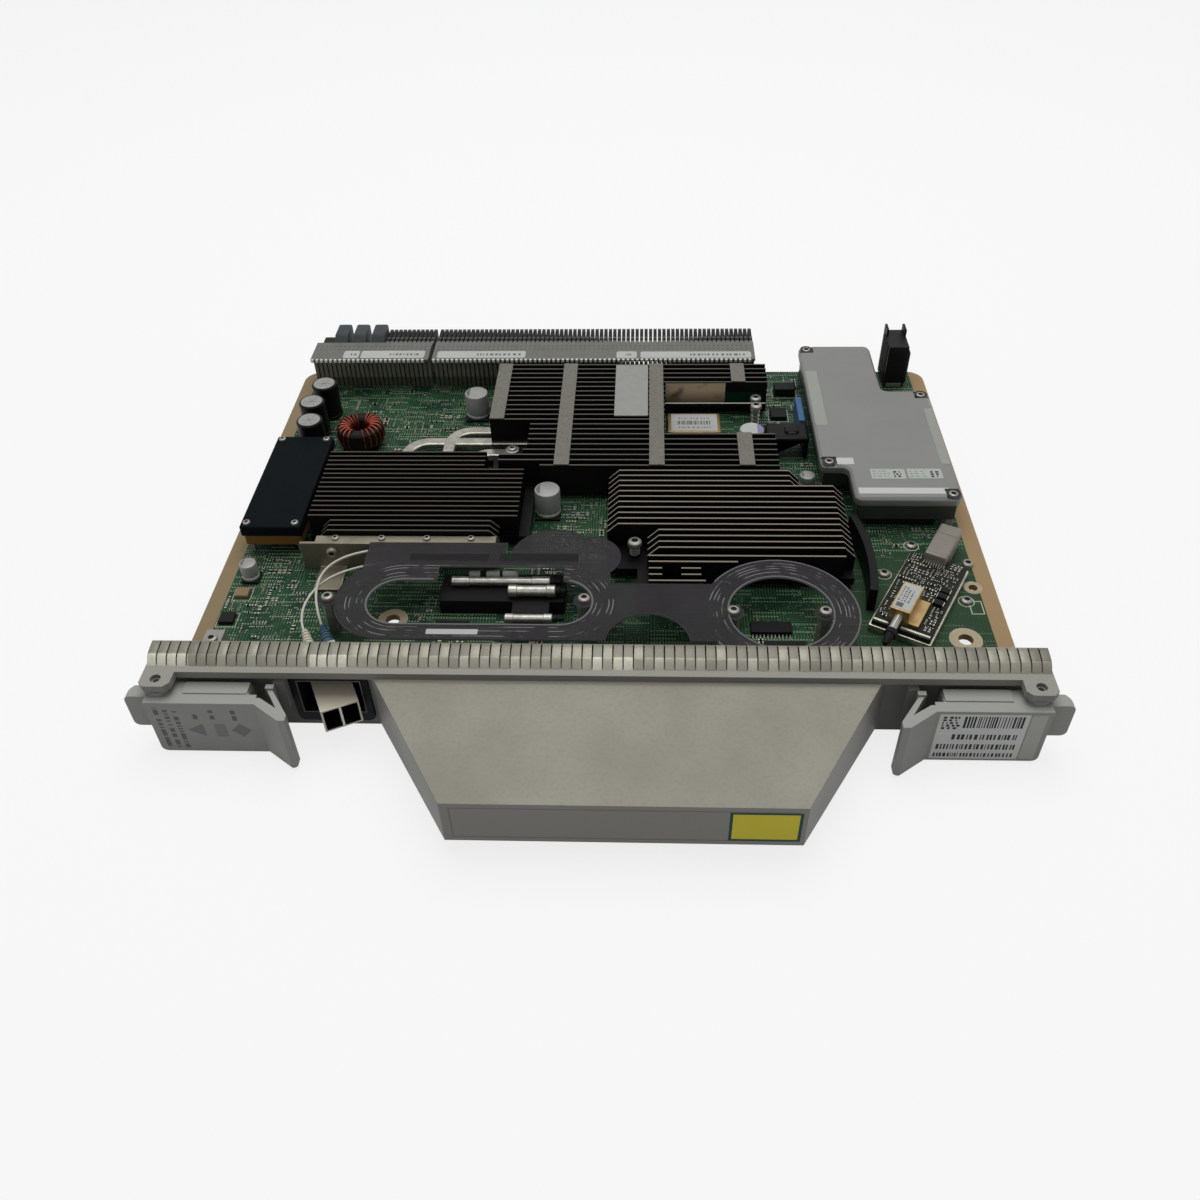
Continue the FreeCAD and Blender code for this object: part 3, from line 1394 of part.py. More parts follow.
def make_tray():
    bottom = d.tray_top - d.tray_thickness
    thickness = d.tray_thickness
    front = d.tray_left_y - d.tray_left_radius
    rear = d.tray_left_y + d.tray_left_radius
    sheet_parts = [
        round_bar("tray_end", d.tray_left_x, d.tray_left_y, bottom, d.tray_left_radius, thickness),
        block("tray_middle", d.tray_left_x, d.tray_bridge_left, front, rear, bottom, d.tray_top),
        block("tray_rear", d.tray_rear_left, d.tray_rear_right, d.tray_left_y, d.tray_rear_edge,
              bottom, d.tray_top),
        block("tray_bridge", d.tray_bridge_left, d.tray_ring_x - d.tray_ring_inner, front, d.tray_bridge_rear,
              bottom, d.tray_top),
        round_bar("tray_ring", d.tray_ring_x, d.tray_ring_y, bottom, d.tray_ring_radius, thickness),
    ]
    for lobe in layout("tray_lobe"):
        sheet_parts.append(round_bar("tray_lobe", lobe.x, lobe.y, bottom, lobe.radius, thickness))
    slot_front = d.tray_slot_y - d.tray_slot_radius
    slot_rear = d.tray_slot_y + d.tray_slot_radius
    under = bottom - OVERRUN
    above = d.tray_top + OVERRUN
    deep = above - under
    openings = [
        round_bar("slot_left", d.tray_slot_left, d.tray_slot_y, under, d.tray_slot_radius, deep),
        round_bar("slot_right", d.tray_slot_right, d.tray_slot_y, under, d.tray_slot_radius, deep),
        block("slot_middle", d.tray_slot_left, d.tray_slot_right, slot_front, slot_rear, under, above),
        block("slot_upper", d.holder_left, d.holder_right, d.tray_slot_y, d.tray_slot_rear, under, above),
        round_bar("ring_hole", d.tray_ring_x, d.tray_ring_y, under, d.tray_ring_inner, deep),
        round_bar("tray_notch", d.tray_notch_x, d.tray_notch_y, under, d.tray_notch_radius, deep),
    ]
    sheet_shape = cut("tray_sheet", fuse("tray_outline", sheet_parts), openings)
    tabs = []
    for spot in layout("tray_screw"):
        tabs.append(prism("tray_tab", spot.x, spot.y, bottom, d.tray_tab_radius, thickness, TUBE_SIDES))
    node(fuse("fibre_tray", [sheet_shape] + tabs), "fibre_tray")


def make_splices():
    top = d.holder_top
    node(fuse("splice_holder", [
        block("holder_rear", d.holder_left, d.holder_right, d.holder_middle, d.holder_rear, d.board_top, top),
        block("holder_front", d.holder_arm_left, d.holder_arm_right, d.holder_front, d.holder_middle,
              d.board_top, top),
    ]), "splice_holder")
    tubes = []
    boots = []
    for splice in layout("splice"):
        height = top + splice.radius
        length = splice.right - splice.left
        tubes.append(prism("splice_tube", splice.left, splice.y, height, splice.radius, length,
                           TUBE_SIDES, "x"))
        boots.append(taper("splice_boot", splice.right, splice.y, height, splice.radius * BOOT_FULL,
                           splice.radius * BOOT_TIP, d.splice_boot_length, ALONG_X))
    node(group("splice_tubes", tubes), "splice_tubes")
    node(group("splice_boots", boots), "splice_boots")
    sleeve = prism("label_sleeve", d.sleeve_left, d.sleeve_y, top + d.sleeve_radius, d.sleeve_radius,
                   d.sleeve_length, TUBE_SIDES, "x")
    node(sleeve, "label_sleeve")


def make_bracket():
    front = d.bracket_front
    back = front + d.bracket_sheet
    foot_top = d.board_top + d.bracket_sheet
    flange_bottom = d.bracket_top - d.bracket_sheet
    wall = block("bracket_wall", d.bracket_left, d.bracket_right, front, back, d.board_top, d.bracket_top)
    flange = block("bracket_flange", d.rail_left, d.bracket_right, back, d.rail_rear,
                   flange_bottom, d.bracket_top)
    foot = block("bracket_foot", d.foot_left, d.foot_left + d.foot_width, d.foot_front, back,
                 d.board_top, foot_top)
    node(fuse("tray_bracket", [wall, flange, foot]), "tray_bracket")


# Laser daughter board, drawn square and turned as a whole

def on_laser(pieces, label, lift):
    piece = fuse(label, pieces) if len(pieces) > 1 else group(label, pieces)
    turn_about_z(piece, d.laser_x, d.laser_y, lift, d.laser_turn)
    return node(piece, label)


def make_laser():
    half_width = d.laser_width / 2
    half_length = d.laser_length / 2
    margin = d.carrier_margin
    carrier_top = d.board_top + d.carrier_height
    board_top = carrier_top + d.laser_board_thickness
    carrier = block("carrier", -half_width - margin, half_width + margin, -half_length - margin,
                    half_length + margin, 0, d.carrier_height)
    on_laser([carrier], "laser_carrier", d.board_top)
    board = block("laser_sheet", -half_width, half_width, -half_length, half_length,
                  0, d.laser_board_thickness)
    on_laser([board], "laser_board", carrier_top)

    gold_left = d.gold_x - d.gold_width / 2
    gold_front = d.gold_y - d.gold_length / 2
    gold_rear = d.gold_y + d.gold_length / 2
    can = block("gold_can", gold_left, gold_left + d.gold_width, gold_front, gold_rear, 0, d.gold_height)
    flange = block("gold_flange", gold_left, gold_left + d.gold_flange_width, gold_front + margin,
                   gold_rear - margin, 0, d.gold_flange_height)
    nozzle_end = gold_front - d.nozzle_length
    axis_height = d.gold_height / 2
    nozzle = prism("nozzle", d.gold_x, nozzle_end, axis_height, d.nozzle_radius, d.nozzle_length,
                   TUBE_SIDES, "y")
    on_laser([can, flange, nozzle], "laser_package", board_top)
    boot = taper("nozzle_boot", d.gold_x, nozzle_end - d.nozzle_boot_length, axis_height,
                 d.nozzle_boot_radius / 2, d.nozzle_boot_radius, d.nozzle_boot_length)
    on_laser([boot], "laser_boot", board_top)

    clip_left = d.clip_x - d.clip_width / 2
    clip_right = d.clip_x + d.clip_width / 2
    deck_bottom = d.carrier_height + d.laser_board_thickness
    deck = block("clip_deck", clip_left, clip_right, d.clip_start, d.clip_end,
                 deck_bottom, deck_bottom + d.clip_height)
    leg = block("clip_leg", clip_left, clip_right, d.clip_leg_start, d.clip_end, 0, deck_bottom)
    on_laser([deck, leg], "shield_clip", d.board_top)


# Fibre guide, strap, strip connector and chips on the board

def make_fibre_guide():
    points = layout("guide_wall")
    front, middle, rear = [FreeCAD.Vector(point.x.number, point.y.number, 0) for point in points]
    arc = Part.Arc(front, middle, rear)
    route = Part.Wire([arc.toShape()])
    tangent = arc.tangent(arc.FirstParameter)[0]
    side = FreeCAD.Vector(-tangent.y, tangent.x, 0) * (d.guide_wall_thickness.number / 2)
    up = FreeCAD.Vector(0, 0, d.guide_wall_height.number)
    frame = Part.makePolygon([front - side, front + side, front + side + up, front - side + up, front - side])
    solid = route.makePipeShell([frame], True, True)
    solid.translate(FreeCAD.Vector(0, 0, d.board_top.number))
    piece = doc.addObject("Part::Feature", "fibre_guide")
    piece.Shape = solid
    node(piece, "fibre_guide")


def make_small_parts():
    right = d.strap_left + d.strap_width
    rear = d.strap_front + d.strap_depth
    deck_bottom = d.strap_top - d.strap_thickness
    parts = [block("strap_deck", d.strap_left, right, d.strap_front, rear, deck_bottom, d.strap_top)]
    for start in (d.strap_left, right - d.strap_thickness):
        parts.append(block("strap_leg", start, start + d.strap_thickness, d.strap_front, rear,
                           d.board_top, deck_bottom))
    node(fuse("fibre_strap", parts), "fibre_strap")
    node(on_board("strip_connector", layout("strip_connector")[0]), "strip_connector")
    node(on_board("module_socket", layout("module_socket")[0]), "module_socket")
    chips = layout("board_chip") + layout("left_chip")
    node(group("board_chips", [on_board("chip", chip) for chip in chips]), "board_chips")


def on_board(name, place_on):
    return block(name, place_on.left, place_on.left + place_on.width, place_on.front,
                 place_on.front + place_on.depth, d.board_top, d.board_top + place_on.height)


# Standoffs and screws: one node for each kind, made of separate solids

def make_fasteners():
    posts = []
    pan_heads = []
    small_heads = []

    def add_post(x, y, top):
        posts.append(prism("post", x, y, d.board_top, d.standoff_radius, top - d.board_top, HEX_SIDES))

    def add_pan_head(x, y, seat):
        pan_heads.append(prism("pan_head", x, y, seat, d.screw_head_radius, d.screw_head_height, HEAD_SIDES))

    def add_small_head(x, y, seat):
        small_heads.append(prism("small_head", x, y, seat, d.small_head_radius, d.small_head_height,
                                 HEAD_SIDES))

    for spot in layout("tray_screw"):
        add_post(spot.x, spot.y, d.tray_top - d.tray_thickness)
        add_pan_head(spot.x, spot.y, d.tray_top)
    for x, y in module_lugs():
        add_post(x, y, d.module_top - d.cover_height - d.base_height)
        add_pan_head(x, y, d.module_top - d.lug_recess)
    for spot in layout("board_screw"):
        add_pan_head(spot.x, spot.y, d.board_top)
    lug_middle = (d.lug_inner + d.lug_outer) / 2
    for side, reach in ((-1, d.left_lug_reach), (1, d.right_lug_reach)):
        add_pan_head(side * lug_middle, reach - d.lug_height, d.board_top + d.lug_height)
    pan_heads.append(prism("face_screw", d.face_screw_x, d.bracket_front - d.screw_head_height,
                           d.face_screw_z, d.screw_head_radius, d.screw_head_height, HEAD_SIDES, "y"))
    for x, y in brick_corners():
        add_small_head(x, y, d.brick_top)
    rail_middle = (d.bracket_front + d.bracket_sheet + d.rail_rear) / 2
    for spot in layout("rail_screw"):
        add_small_head(spot.x, rail_middle, d.bracket_top)
    node(group("standoffs", posts), "standoffs")
    node(group("pan_head_screws", pan_heads), "pan_head_screws")
    node(group("small_screws", small_heads), "small_screws")


make_board()
make_faceplate()
make_finger_strip()
make_levers()
make_pivot_pins()
make_port()
make_fibres()
make_connectors()
make_guide_socket()
make_module()
make_brick()
make_capacitors()
make_choke()
make_heatsinks()
make_sink_screws()
make_tray()
make_splices()
make_bracket()
make_laser()
make_fibre_guide()
make_small_parts()
make_fasteners()
doc.recompute()

# Every object is checked before any file is written
for piece in doc.Objects:
    if "Invalid" in piece.State or "Error" in piece.State:
        raise RuntimeError("%s did not build: %s" % (piece.Label, piece.State))
for piece in nodes:
    if piece.Shape.isNull() or not piece.Shape.isValid() or not piece.Shape.Solids:
        raise RuntimeError("%s has no valid solid" % piece.Label)

os.makedirs("parts", exist_ok=True)
for piece in nodes:
    piece.Shape.exportStep("parts/%s.step" % piece.Label)
print("%d nodes written" % len(nodes))
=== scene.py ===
import json
import math
import random
from functools import cached_property

import bmesh
import bpy
from mathutils import Matrix, Vector


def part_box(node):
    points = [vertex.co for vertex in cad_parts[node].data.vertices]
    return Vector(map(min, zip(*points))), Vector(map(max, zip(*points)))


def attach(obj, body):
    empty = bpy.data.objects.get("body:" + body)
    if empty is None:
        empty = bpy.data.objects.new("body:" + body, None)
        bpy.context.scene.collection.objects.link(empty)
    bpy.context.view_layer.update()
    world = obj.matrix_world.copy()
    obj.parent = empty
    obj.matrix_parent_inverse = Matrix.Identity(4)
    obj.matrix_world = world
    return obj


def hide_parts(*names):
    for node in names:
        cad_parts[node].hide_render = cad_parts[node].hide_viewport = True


# Optical circuit pack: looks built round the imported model, in its own frame.
# Shapes are drawn in millimetres and turned into metres when a piece is finished.

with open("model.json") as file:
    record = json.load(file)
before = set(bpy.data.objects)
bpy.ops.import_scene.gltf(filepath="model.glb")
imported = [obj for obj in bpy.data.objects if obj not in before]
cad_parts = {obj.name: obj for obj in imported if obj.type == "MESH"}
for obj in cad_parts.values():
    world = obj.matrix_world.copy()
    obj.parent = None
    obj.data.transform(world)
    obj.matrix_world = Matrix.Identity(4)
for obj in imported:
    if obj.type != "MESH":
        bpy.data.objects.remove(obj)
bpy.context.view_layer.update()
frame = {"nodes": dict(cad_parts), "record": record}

MM = 0.001
BOARD_TOP = 8.0
BOARD_EDGE = 135.2
FINGER_PITCH = 3.175
FINGER_COUNT = 88
FINGER_SLIT = 0.45
WAFER_PITCH = 2.05
LEVERS = {"left_lever": -1, "right_lever": 1}
LEVER_FACE = -14.3
PORT_X, PORT_Y, PORT_TURN = -79.2, -9.9, 25.0
LASER_X, LASER_Y, LASER_TURN, LASER_TOP = 112.55, 50.2, -28.5, 12.5
FILM, INK = 0.05, 0.02
FULL_TURN = 2 * math.pi
SATIN = 0.1
WHITE = (1.0, 1.0, 1.0, 1.0)


# Finishes

def tone(red, green, blue):
    """Three display levels from 0 to 255 as the linear colour that a shader takes."""
    shares = [level / 255 for level in (red, green, blue)]
    return (*(s / 12.92 if s <= 0.04045 else ((s + 0.055) / 1.055) ** 2.4 for s in shares), 1.0)


class Value:
    """A number that varies over a surface; arithmetic on it adds Math nodes."""

    def __init__(self, graph, socket):
        self.graph = graph
        self.socket = socket

    def math(self, operation, *others):
        operands = dict(enumerate((self, *others)))
        node = self.graph.add("ShaderNodeMath", {"operation": operation}, operands)
        return Value(self.graph, node.outputs[0])

    def __add__(self, other):
        return self.math("ADD", other)

    def __sub__(self, other):
        return self.math("SUBTRACT", other)

    def __rsub__(self, other):
        return self * -1.0 + other

    def __mul__(self, other):
        return self.math("MULTIPLY", other)

    def __truediv__(self, other):
        return self.math("DIVIDE", other)

    def __abs__(self):
        return self.math("ABSOLUTE")

    __radd__, __rmul__ = __add__, __mul__

    def above(self, limit):
        return self.math("GREATER_THAN", limit)

    def below(self, limit):
        return self.math("LESS_THAN", limit)

    def between(self, low, high):
        return self.above(low) * self.below(high)

    def whole(self):
        return self.math("FLOOR")

    def part(self):
        return self.math("FRACT")

    def ramp(self, low, high):
        """0 below low, 1 above high and straight between them."""
        node = self.graph.add("ShaderNodeMapRange", {"clamp": True},
                              {"Value": self, "From Min": low, "From Max": high})
        return Value(self.graph, node.outputs[0])


class Graph:
    """A node tree that is filled node by node."""

    def __init__(self, tree):
        self.tree = tree

    def join(self, value, target):
        """Links a varying value to a socket, or sets a constant; three display levels are a colour."""
        source = value.socket if isinstance(value, Value) else value
        if isinstance(source, bpy.types.NodeSocket):
            self.tree.links.new(source, target)
        else:
            levels = isinstance(source, tuple) and len(source) == 3
            target.default_value = tone(*source) if levels else source

    def add(self, kind, settings=None, inputs=None):
        """Any node: its settings first, then its sockets' values or links."""
        node = self.tree.nodes.new(kind)
        for name, setting in (settings or {}).items():
            setattr(node, name, setting)
        for key, value in (inputs or {}).items():
            named = (s for s in node.inputs if key in (s.identifier, s.name))
            self.join(value, node.inputs[key] if isinstance(key, int) else next(named))
        return node

    def rays(self, *kinds):
        """1 for each kind of ray that meets the surface, and 0 otherwise."""
        path = self.add("ShaderNodeLightPath")
        return [Value(self, path.outputs[f"Is {kind} Ray"]) for kind in kinds]


class Finish(Graph):
    """A procedural material on Object coordinates, read in millimetres."""

    def __init__(self, name, colour, roughness, metallic=0.0, gloss=0.5):
        self.material = bpy.data.materials.new(name)
        self.material.use_nodes = True
        super().__init__(self.material.node_tree)
        self.shader = self.tree.nodes["Principled BSDF"]
        self.colour = colour
        self.set("Base Color", colour)
        self.set("Roughness", roughness)
        self.set("Metallic", metallic)
        self.set("Specular IOR Level", gloss)

    def set(self, socket, value):
        self.join(value, self.shader.inputs[socket])

    def coordinates(self, kind):
        where = self.add("ShaderNodeTexCoord").outputs[kind]
        split = self.add("ShaderNodeSeparateXYZ", None, {"Vector": where})
        return [Value(self, socket) for socket in split.outputs]

    @cached_property
    def place(self):
        """The point on the piece, in millimetres, as three values."""
        return [value * (1 / MM) for value in self.coordinates("Object")]

    @cached_property
    def facing(self):
        """The way the surface faces, as three values."""
        return self.coordinates("Normal")

    def up(self, least=0.6):
        """1 on the faces that look up."""
        return self.facing[2].above(least)

    def spot(self, x, y, z=0.0):
        return self.add("ShaderNodeCombineXYZ", None, {"X": x, "Y": y, "Z": z}).outputs[0]

    def noise(self, across, detail=2.0):
        """Cloudy variation from 0 to 1 with patches of the given size."""
        where = self.spot(*(value / across for value in self.place))
        node = self.add("ShaderNodeTexNoise", {"noise_dimensions": "3D"},
                        {"Vector": where, "Scale": 1.0, "Detail": detail})
        return Value(self, node.outputs[0])

    def cells(self, where, output, spread=1.0, distance="EUCLIDEAN"):
        """Random cells: the distance from each one's middle, or its own colour."""
        settings = {"voronoi_dimensions": "3D", "feature": "F1", "distance": distance}
        node = self.add("ShaderNodeTexVoronoi", settings,
                        {"Vector": where, "Scale": 1.0, "Randomness": spread})
        return Value(self, node.outputs[output])

    def chance(self, value):
        """One steady random number for each whole number."""
        node = self.add("ShaderNodeTexWhiteNoise", {"noise_dimensions": "1D"}, {"W": value})
        return Value(self, node.outputs["Value"])

    def blend(self, share, first, second):
        node = self.add("ShaderNodeMix", {"data_type": "RGBA"},
                        {"Factor_Float": share, "A_Color": first, "B_Color": second})
        return next(s for s in node.outputs if s.identifier == "Result_Color")

    def paint(self, share, colour):
        """Lays a colour over what the base colour is so far."""
        self.colour = self.blend(share, self.colour, colour)
        self.set("Base Color", self.colour)

    def bump(self, height, depth):
        """Relief of the given depth in millimetres."""
        node = self.add("ShaderNodeBump", None,
                        {"Height": height, "Strength": 1.0, "Distance": depth * MM})
        self.set("Normal", node.outputs[0])


def bare_metal(name, colour, dark, roughness, patch=6.0, metallic=0.9):
    """Bare sheet or machined metal with faint clouds, a fine grain and uneven gloss."""
    finish = Finish(name, colour, roughness, metallic)
    clouds = finish.noise(patch, 4.0)
    finish.paint(clouds.ramp(0.35, 0.75) * 0.7, dark)
    finish.set("Roughness", clouds * 0.2 + (roughness - 0.1))
    finish.bump(finish.noise(0.35), 0.02)
    return finish


def moulded(name, colour, dark, roughness, grain=0.4, gloss=SATIN):
    """Moulded plastic or rubber with a fine grain and slight clouding."""
    finish = Finish(name, colour, roughness, gloss=gloss)
    finish.paint(finish.noise(9.0, 3.0).ramp(0.35, 0.75) * 0.5, dark)
    finish.set("Roughness", finish.noise(3.0) * 0.15 + (roughness - 0.07))
    finish.bump(finish.noise(grain, 1.0), 0.02)
    return finish


def casting():
    """Painted grey casting with painted light: faces that look up are lighter and faces that look forward
    darker; the hood's top is warm and mottled, its sides and front painted darker, and its front has plain
    fields.
    """
    hood_middle, hood_half, wall_front, hood_front = 10.2, 82.0, -6.2, -50.1
    finish = Finish("casting", (144, 144, 140), 0.5, gloss=SATIN)
    x, y, z = finish.place
    hood = y.below(wall_front) * abs(x - hood_middle).below(hood_half)
    top = hood * finish.up()
    clouds = finish.noise(30.0, 4.0)
    # Painted light: faces that look up are lighter, faces that look forward darker.
    finish.paint(finish.up(), (167, 166, 158))
    finish.paint(finish.facing[1].below(-0.6), (122, 122, 118))
    finish.paint(finish.noise(0.5).ramp(0.3, 0.8) * 0.25, (124, 124, 121))
    # The hood's top: a warm mottled tone, lighter than its sides.
    warm = finish.blend(clouds.ramp(0.35, 0.7), (156, 153, 142), (146, 143, 131))
    warm = finish.blend(finish.noise(1.3, 3.0).ramp(0.45, 0.8) * 0.35, warm, (130, 126, 115))
    finish.paint(top, warm)
    # Painted shade on the hood's sides and front.
    finish.paint(hood * finish.facing[2].below(0.6) * 0.8, (134, 133, 129))
    front = y.below(hood_front)
    outer = x.between(-39.4, 59.8) * z.between(7.2, 21.3)
    groove = outer - x.between(-38.9, 59.3) * z.between(7.7, 20.8)
    finish.paint(front * groove * 0.6, (96, 94, 90))
    finish.paint(front * x.between(40.4, 61.0) * z.between(7.4, 20.8), (32, 66, 60))
    finish.paint(front * x.between(41.3, 60.1) * z.between(8.3, 19.9), (202, 190, 62))
    finish.set("Metallic", top * 0.12)
    finish.set("Roughness", clouds * 0.18 + 0.4)
    finish.bump(finish.noise(0.6), 0.03)
    return finish


def lever_grip(name, marked):
    """Grey moulded lever with painted light on its top faces; one has plain shapes and columns of dashes on
    its front.
    """
    finish = moulded(name, (142, 143, 139), (134, 135, 131), 0.5)
    # Painted light: faces that look up are lighter.
    finish.paint(finish.up(), (172, 173, 168))
    if marked:
        dash, half_wide = 0.62, 0.75
        icon_level, icon_half = 11.1, 3.2
        wedge_tip, wedge_end, diamond_middle = 127.8, 122.4, 110.6
        x, y, z = finish.place
        front = y.below(LEVER_FACE + 0.1)
        for column, (centre, low, high) in enumerate((
            (-135.9, 2.4, 21.4), (-132.9, 2.4, 20.4), (-130.1, 2.4, 20.0),
            (-124.0, 15.6, 18.4), (-118.6, 15.6, 20.8), (-111.6, 15.6, 20.4),
        )):
            dashes = finish.chance((z / dash).whole() + column * 41.0).above(0.3)
            row = front * abs(x - centre).below(half_wide) * z.between(low, high)
            finish.paint(row * dashes * 0.8, (74, 75, 75))
        across = abs(z - icon_level)
        wedge = x.between(-wedge_tip, -wedge_end) * (across - (x + wedge_tip) * 0.57).below(0.0)
        stripes = (z / 0.9).part().below(0.75)
        bar = x.between(-119.0, -115.3) * z.between(7.9, 14.0) * stripes
        diamond = (abs(x + diamond_middle) / icon_half + across / icon_half).below(1.0)
        finish.paint(front * (wedge + bar + diamond), (112, 113, 112))
    return finish


def adapter_shell():
    """Beige metal shell with painted light on its top, painted shade deepening into its two sockets, and a
    painted highlight on the wall between them.
    """
    wall, reach, floor, roof = 0.36, 5.52, 8.95, 17.45
    finish = bare_metal("adapter_shell", (182, 173, 157), (158, 149, 134), 0.34, 5.0, 0.6)
    x, y, z = finish.place
    turn = math.radians(PORT_TURN)
    across = abs((x - PORT_X) * math.cos(turn) + (y - PORT_Y) * math.sin(turn))
    inside = across.between(wall, reach) * z.between(floor, roof)
    depth = (y - PORT_Y) * math.cos(turn) - (x - PORT_X) * math.sin(turn)
    # Painted shade inside the sockets, darker towards the back.
    socket_shade = finish.blend(depth.ramp(-11.0, -5.0), (58, 55, 50), (9, 9, 10))
    # Painted light on faces that look up.
    finish.paint(finish.up(0.5), (232, 223, 204))
    finish.paint(inside, socket_shade)
    # Painted highlight on the wall between the sockets.
    finish.paint(across.below(wall + 0.04) * z.between(floor + 0.05, roof - 0.05), (206, 204, 196))
    finish.set("Metallic", 0.2 - inside * 0.2)
    return finish


def spring_strip():
    """Spring metal with painted reflections: fingers lighter towards the middle and in glints, each finger a
    little different, the rear half darker; a darker line runs along the bend.
    """
    finish = Finish("spring_strip", (136, 134, 121), 0.42, 0.3)
    x, y, _ = finish.place
    own = finish.chance((x / FINGER_PITCH).whole())
    # Painted reflections: fingers lighter towards the middle of the strip, each by its own amount.
    finish.paint(abs(x - 10.0).ramp(130.0, 40.0) * own.ramp(0.3, 1.0) * 0.8, (196, 194, 180))
    # Painted glints on some fingers.
    glints = x.below(-126.5) + x.between(-88.0, -67.0) + x.between(-4.0, 14.0)
    finish.paint(glints * own.ramp(0.0, 0.4) * 0.9, (212, 211, 194))
    # Painted reflection: the rear half darker than the front.
    finish.paint(y.ramp(-0.6, 0.2) * 0.9, (112, 110, 98))
    finish.paint(y.between(-0.35, 0.05) * 0.5, (86, 82, 70))
    # Painted reflection: some fingers lighter.
    finish.paint(own.below(0.3) * 0.4, (172, 170, 152))
    finish.paint(finish.noise(1.6, 3.0).ramp(0.5, 0.8) * 0.35, (128, 122, 104))
    finish.set("Roughness", own * 0.15 + 0.36)
    finish.bump(finish.noise(0.9), 0.05)
    return finish


def circuit_board():
    """Green lacquer over fine copper runs and rows of small pads, with bare tan guide edges."""
    line_pitch, pad_pitch, rank_pitch, via_pitch = 1.05, 1.0, 1.9, 1.2
    finish = Finish("circuit_board", (30, 66, 46), 0.5, gloss=SATIN)
    x, y, _ = finish.place
    calm = x.above(90.0) * y.below(78.0)
    finish.paint(finish.noise(24.0, 3.0).ramp(0.35, 0.65), (20, 48, 34))
    finish.paint(calm * 0.7, (46, 69, 44))
    patch = finish.cells(finish.spot(x / 8.0, y / 11.0), "Color", distance="CHEBYCHEV")
    way = finish.chance((patch * 40.0).whole())
    row = (way.above(0.25) * x + way.below(0.25) * y) / line_pitch
    busy = finish.noise(9.0).ramp(0.4, 0.5) * (1 - calm * 0.9)
    lines = abs(row.part() - 0.5).below(0.2) * busy
    finish.paint(lines * 0.7, (80, 110, 78))
    rank = y / rank_pitch
    shown = finish.chance(rank.whole() + (x / 9.0).whole() * 7.3).above(0.55)
    along = abs((x / pad_pitch).part() - 0.5)
    aside = abs(rank.part() - 0.5)
    pads = along.below(0.24) * aside.below(0.15) * shown * (1 - calm * 0.7)
    finish.paint(pads * 0.85, (164, 182, 152))
    dots = finish.cells(finish.spot(x / via_pitch, y / via_pitch), "Distance", 0.8)
    via = dots.below(0.22) * finish.noise(5.0).ramp(0.42, 0.52)
    finish.paint(via * (1 - calm * 0.8) * 0.8, (148, 170, 138))
    finish.paint(abs(x).above(BOARD_EDGE), (170, 144, 108))
    finish.paint(x.below(-BOARD_EDGE), (148, 130, 100))
    finish.paint(abs(finish.facing[2]).below(0.5) * 0.9, (146, 118, 80))
    finish.set("Roughness", finish.noise(6.0) * 0.2 + 0.38)
    finish.bump(lines * 0.5 + via + pads, 0.03)
    return finish


def contact_wafers():
    """Olive-grey contact wafers, with painted shade on their lower fronts under the stiffener; their rear
    ends are black teeth with rows of paler tips.
    """
    finish = moulded("contact_wafers", (116, 116, 104), (92, 92, 82), 0.5)
    _, y, z = finish.place
    top = finish.up(0.5)
    # Painted shade on the lower fronts, under the stiffener's overhang.
    finish.paint(y.below(193.6) * z.below(13.0) * 0.6, (38, 46, 40))
    finish.paint(y.above(204.4), (27, 27, 28))
    finish.paint(top * y.between(205.0, 207.4) * 0.9, (122, 122, 118))
    finish.paint(top * y.between(209.6, 210.8) * 0.8, (100, 100, 98))
    finish.paint(top * y.above(217.6) * 0.6, (92, 92, 90))
    return finish


def pressed_strip():
    """Grey pressed sheet with two rows of small punched dots."""
    finish = bare_metal("pressed_strip", (98, 99, 94), (88, 88, 83), 0.45, 5.0, 0.3)
    x, y, _ = finish.place
    dot = abs((x / WAFER_PITCH).part() - 0.5).below(0.22)
    rows = abs(y - 200.6).below(0.4) + abs(y - 198.0).below(0.32)
    finish.paint(dot * rows, (52, 51, 47))
    return finish


def gold_can():
    """Gold-plated can with a silver nozzle."""
    finish = bare_metal("gold_can", (180, 152, 102), (128, 100, 58), 0.34, 2.5, 0.6)
    x, y, _ = finish.place
    turn = math.radians(LASER_TURN)
    back = (y - LASER_Y) * math.cos(turn) - (x - LASER_X) * math.sin(turn)
    finish.paint(back.below(-18.7), (150, 148, 142))
    return finish


def satin_cover():
    """Satin sheet cover with a painted highlight along its front bevel and at its inner corner, and painted
    shade on its front faces.
    """
    finish = bare_metal("satin_cover", (127, 128, 125), (122, 123, 120), 0.48, 22.0, 0.2)
    x, y, _ = finish.place
    edge = x.between(96.0, 129.6) * y.between(94.0, 97.6)
    inner = x.between(89.6, 96.6) * y.between(112.6, 116.8)
    # Painted highlight along the front bevel and the inner corner.
    finish.paint(finish.up() * (edge + inner), (192, 193, 190))
    # Painted shade on faces that look forward.
    finish.paint(finish.facing[1].below(-0.6) * 0.5, (110, 111, 108))
    return finish


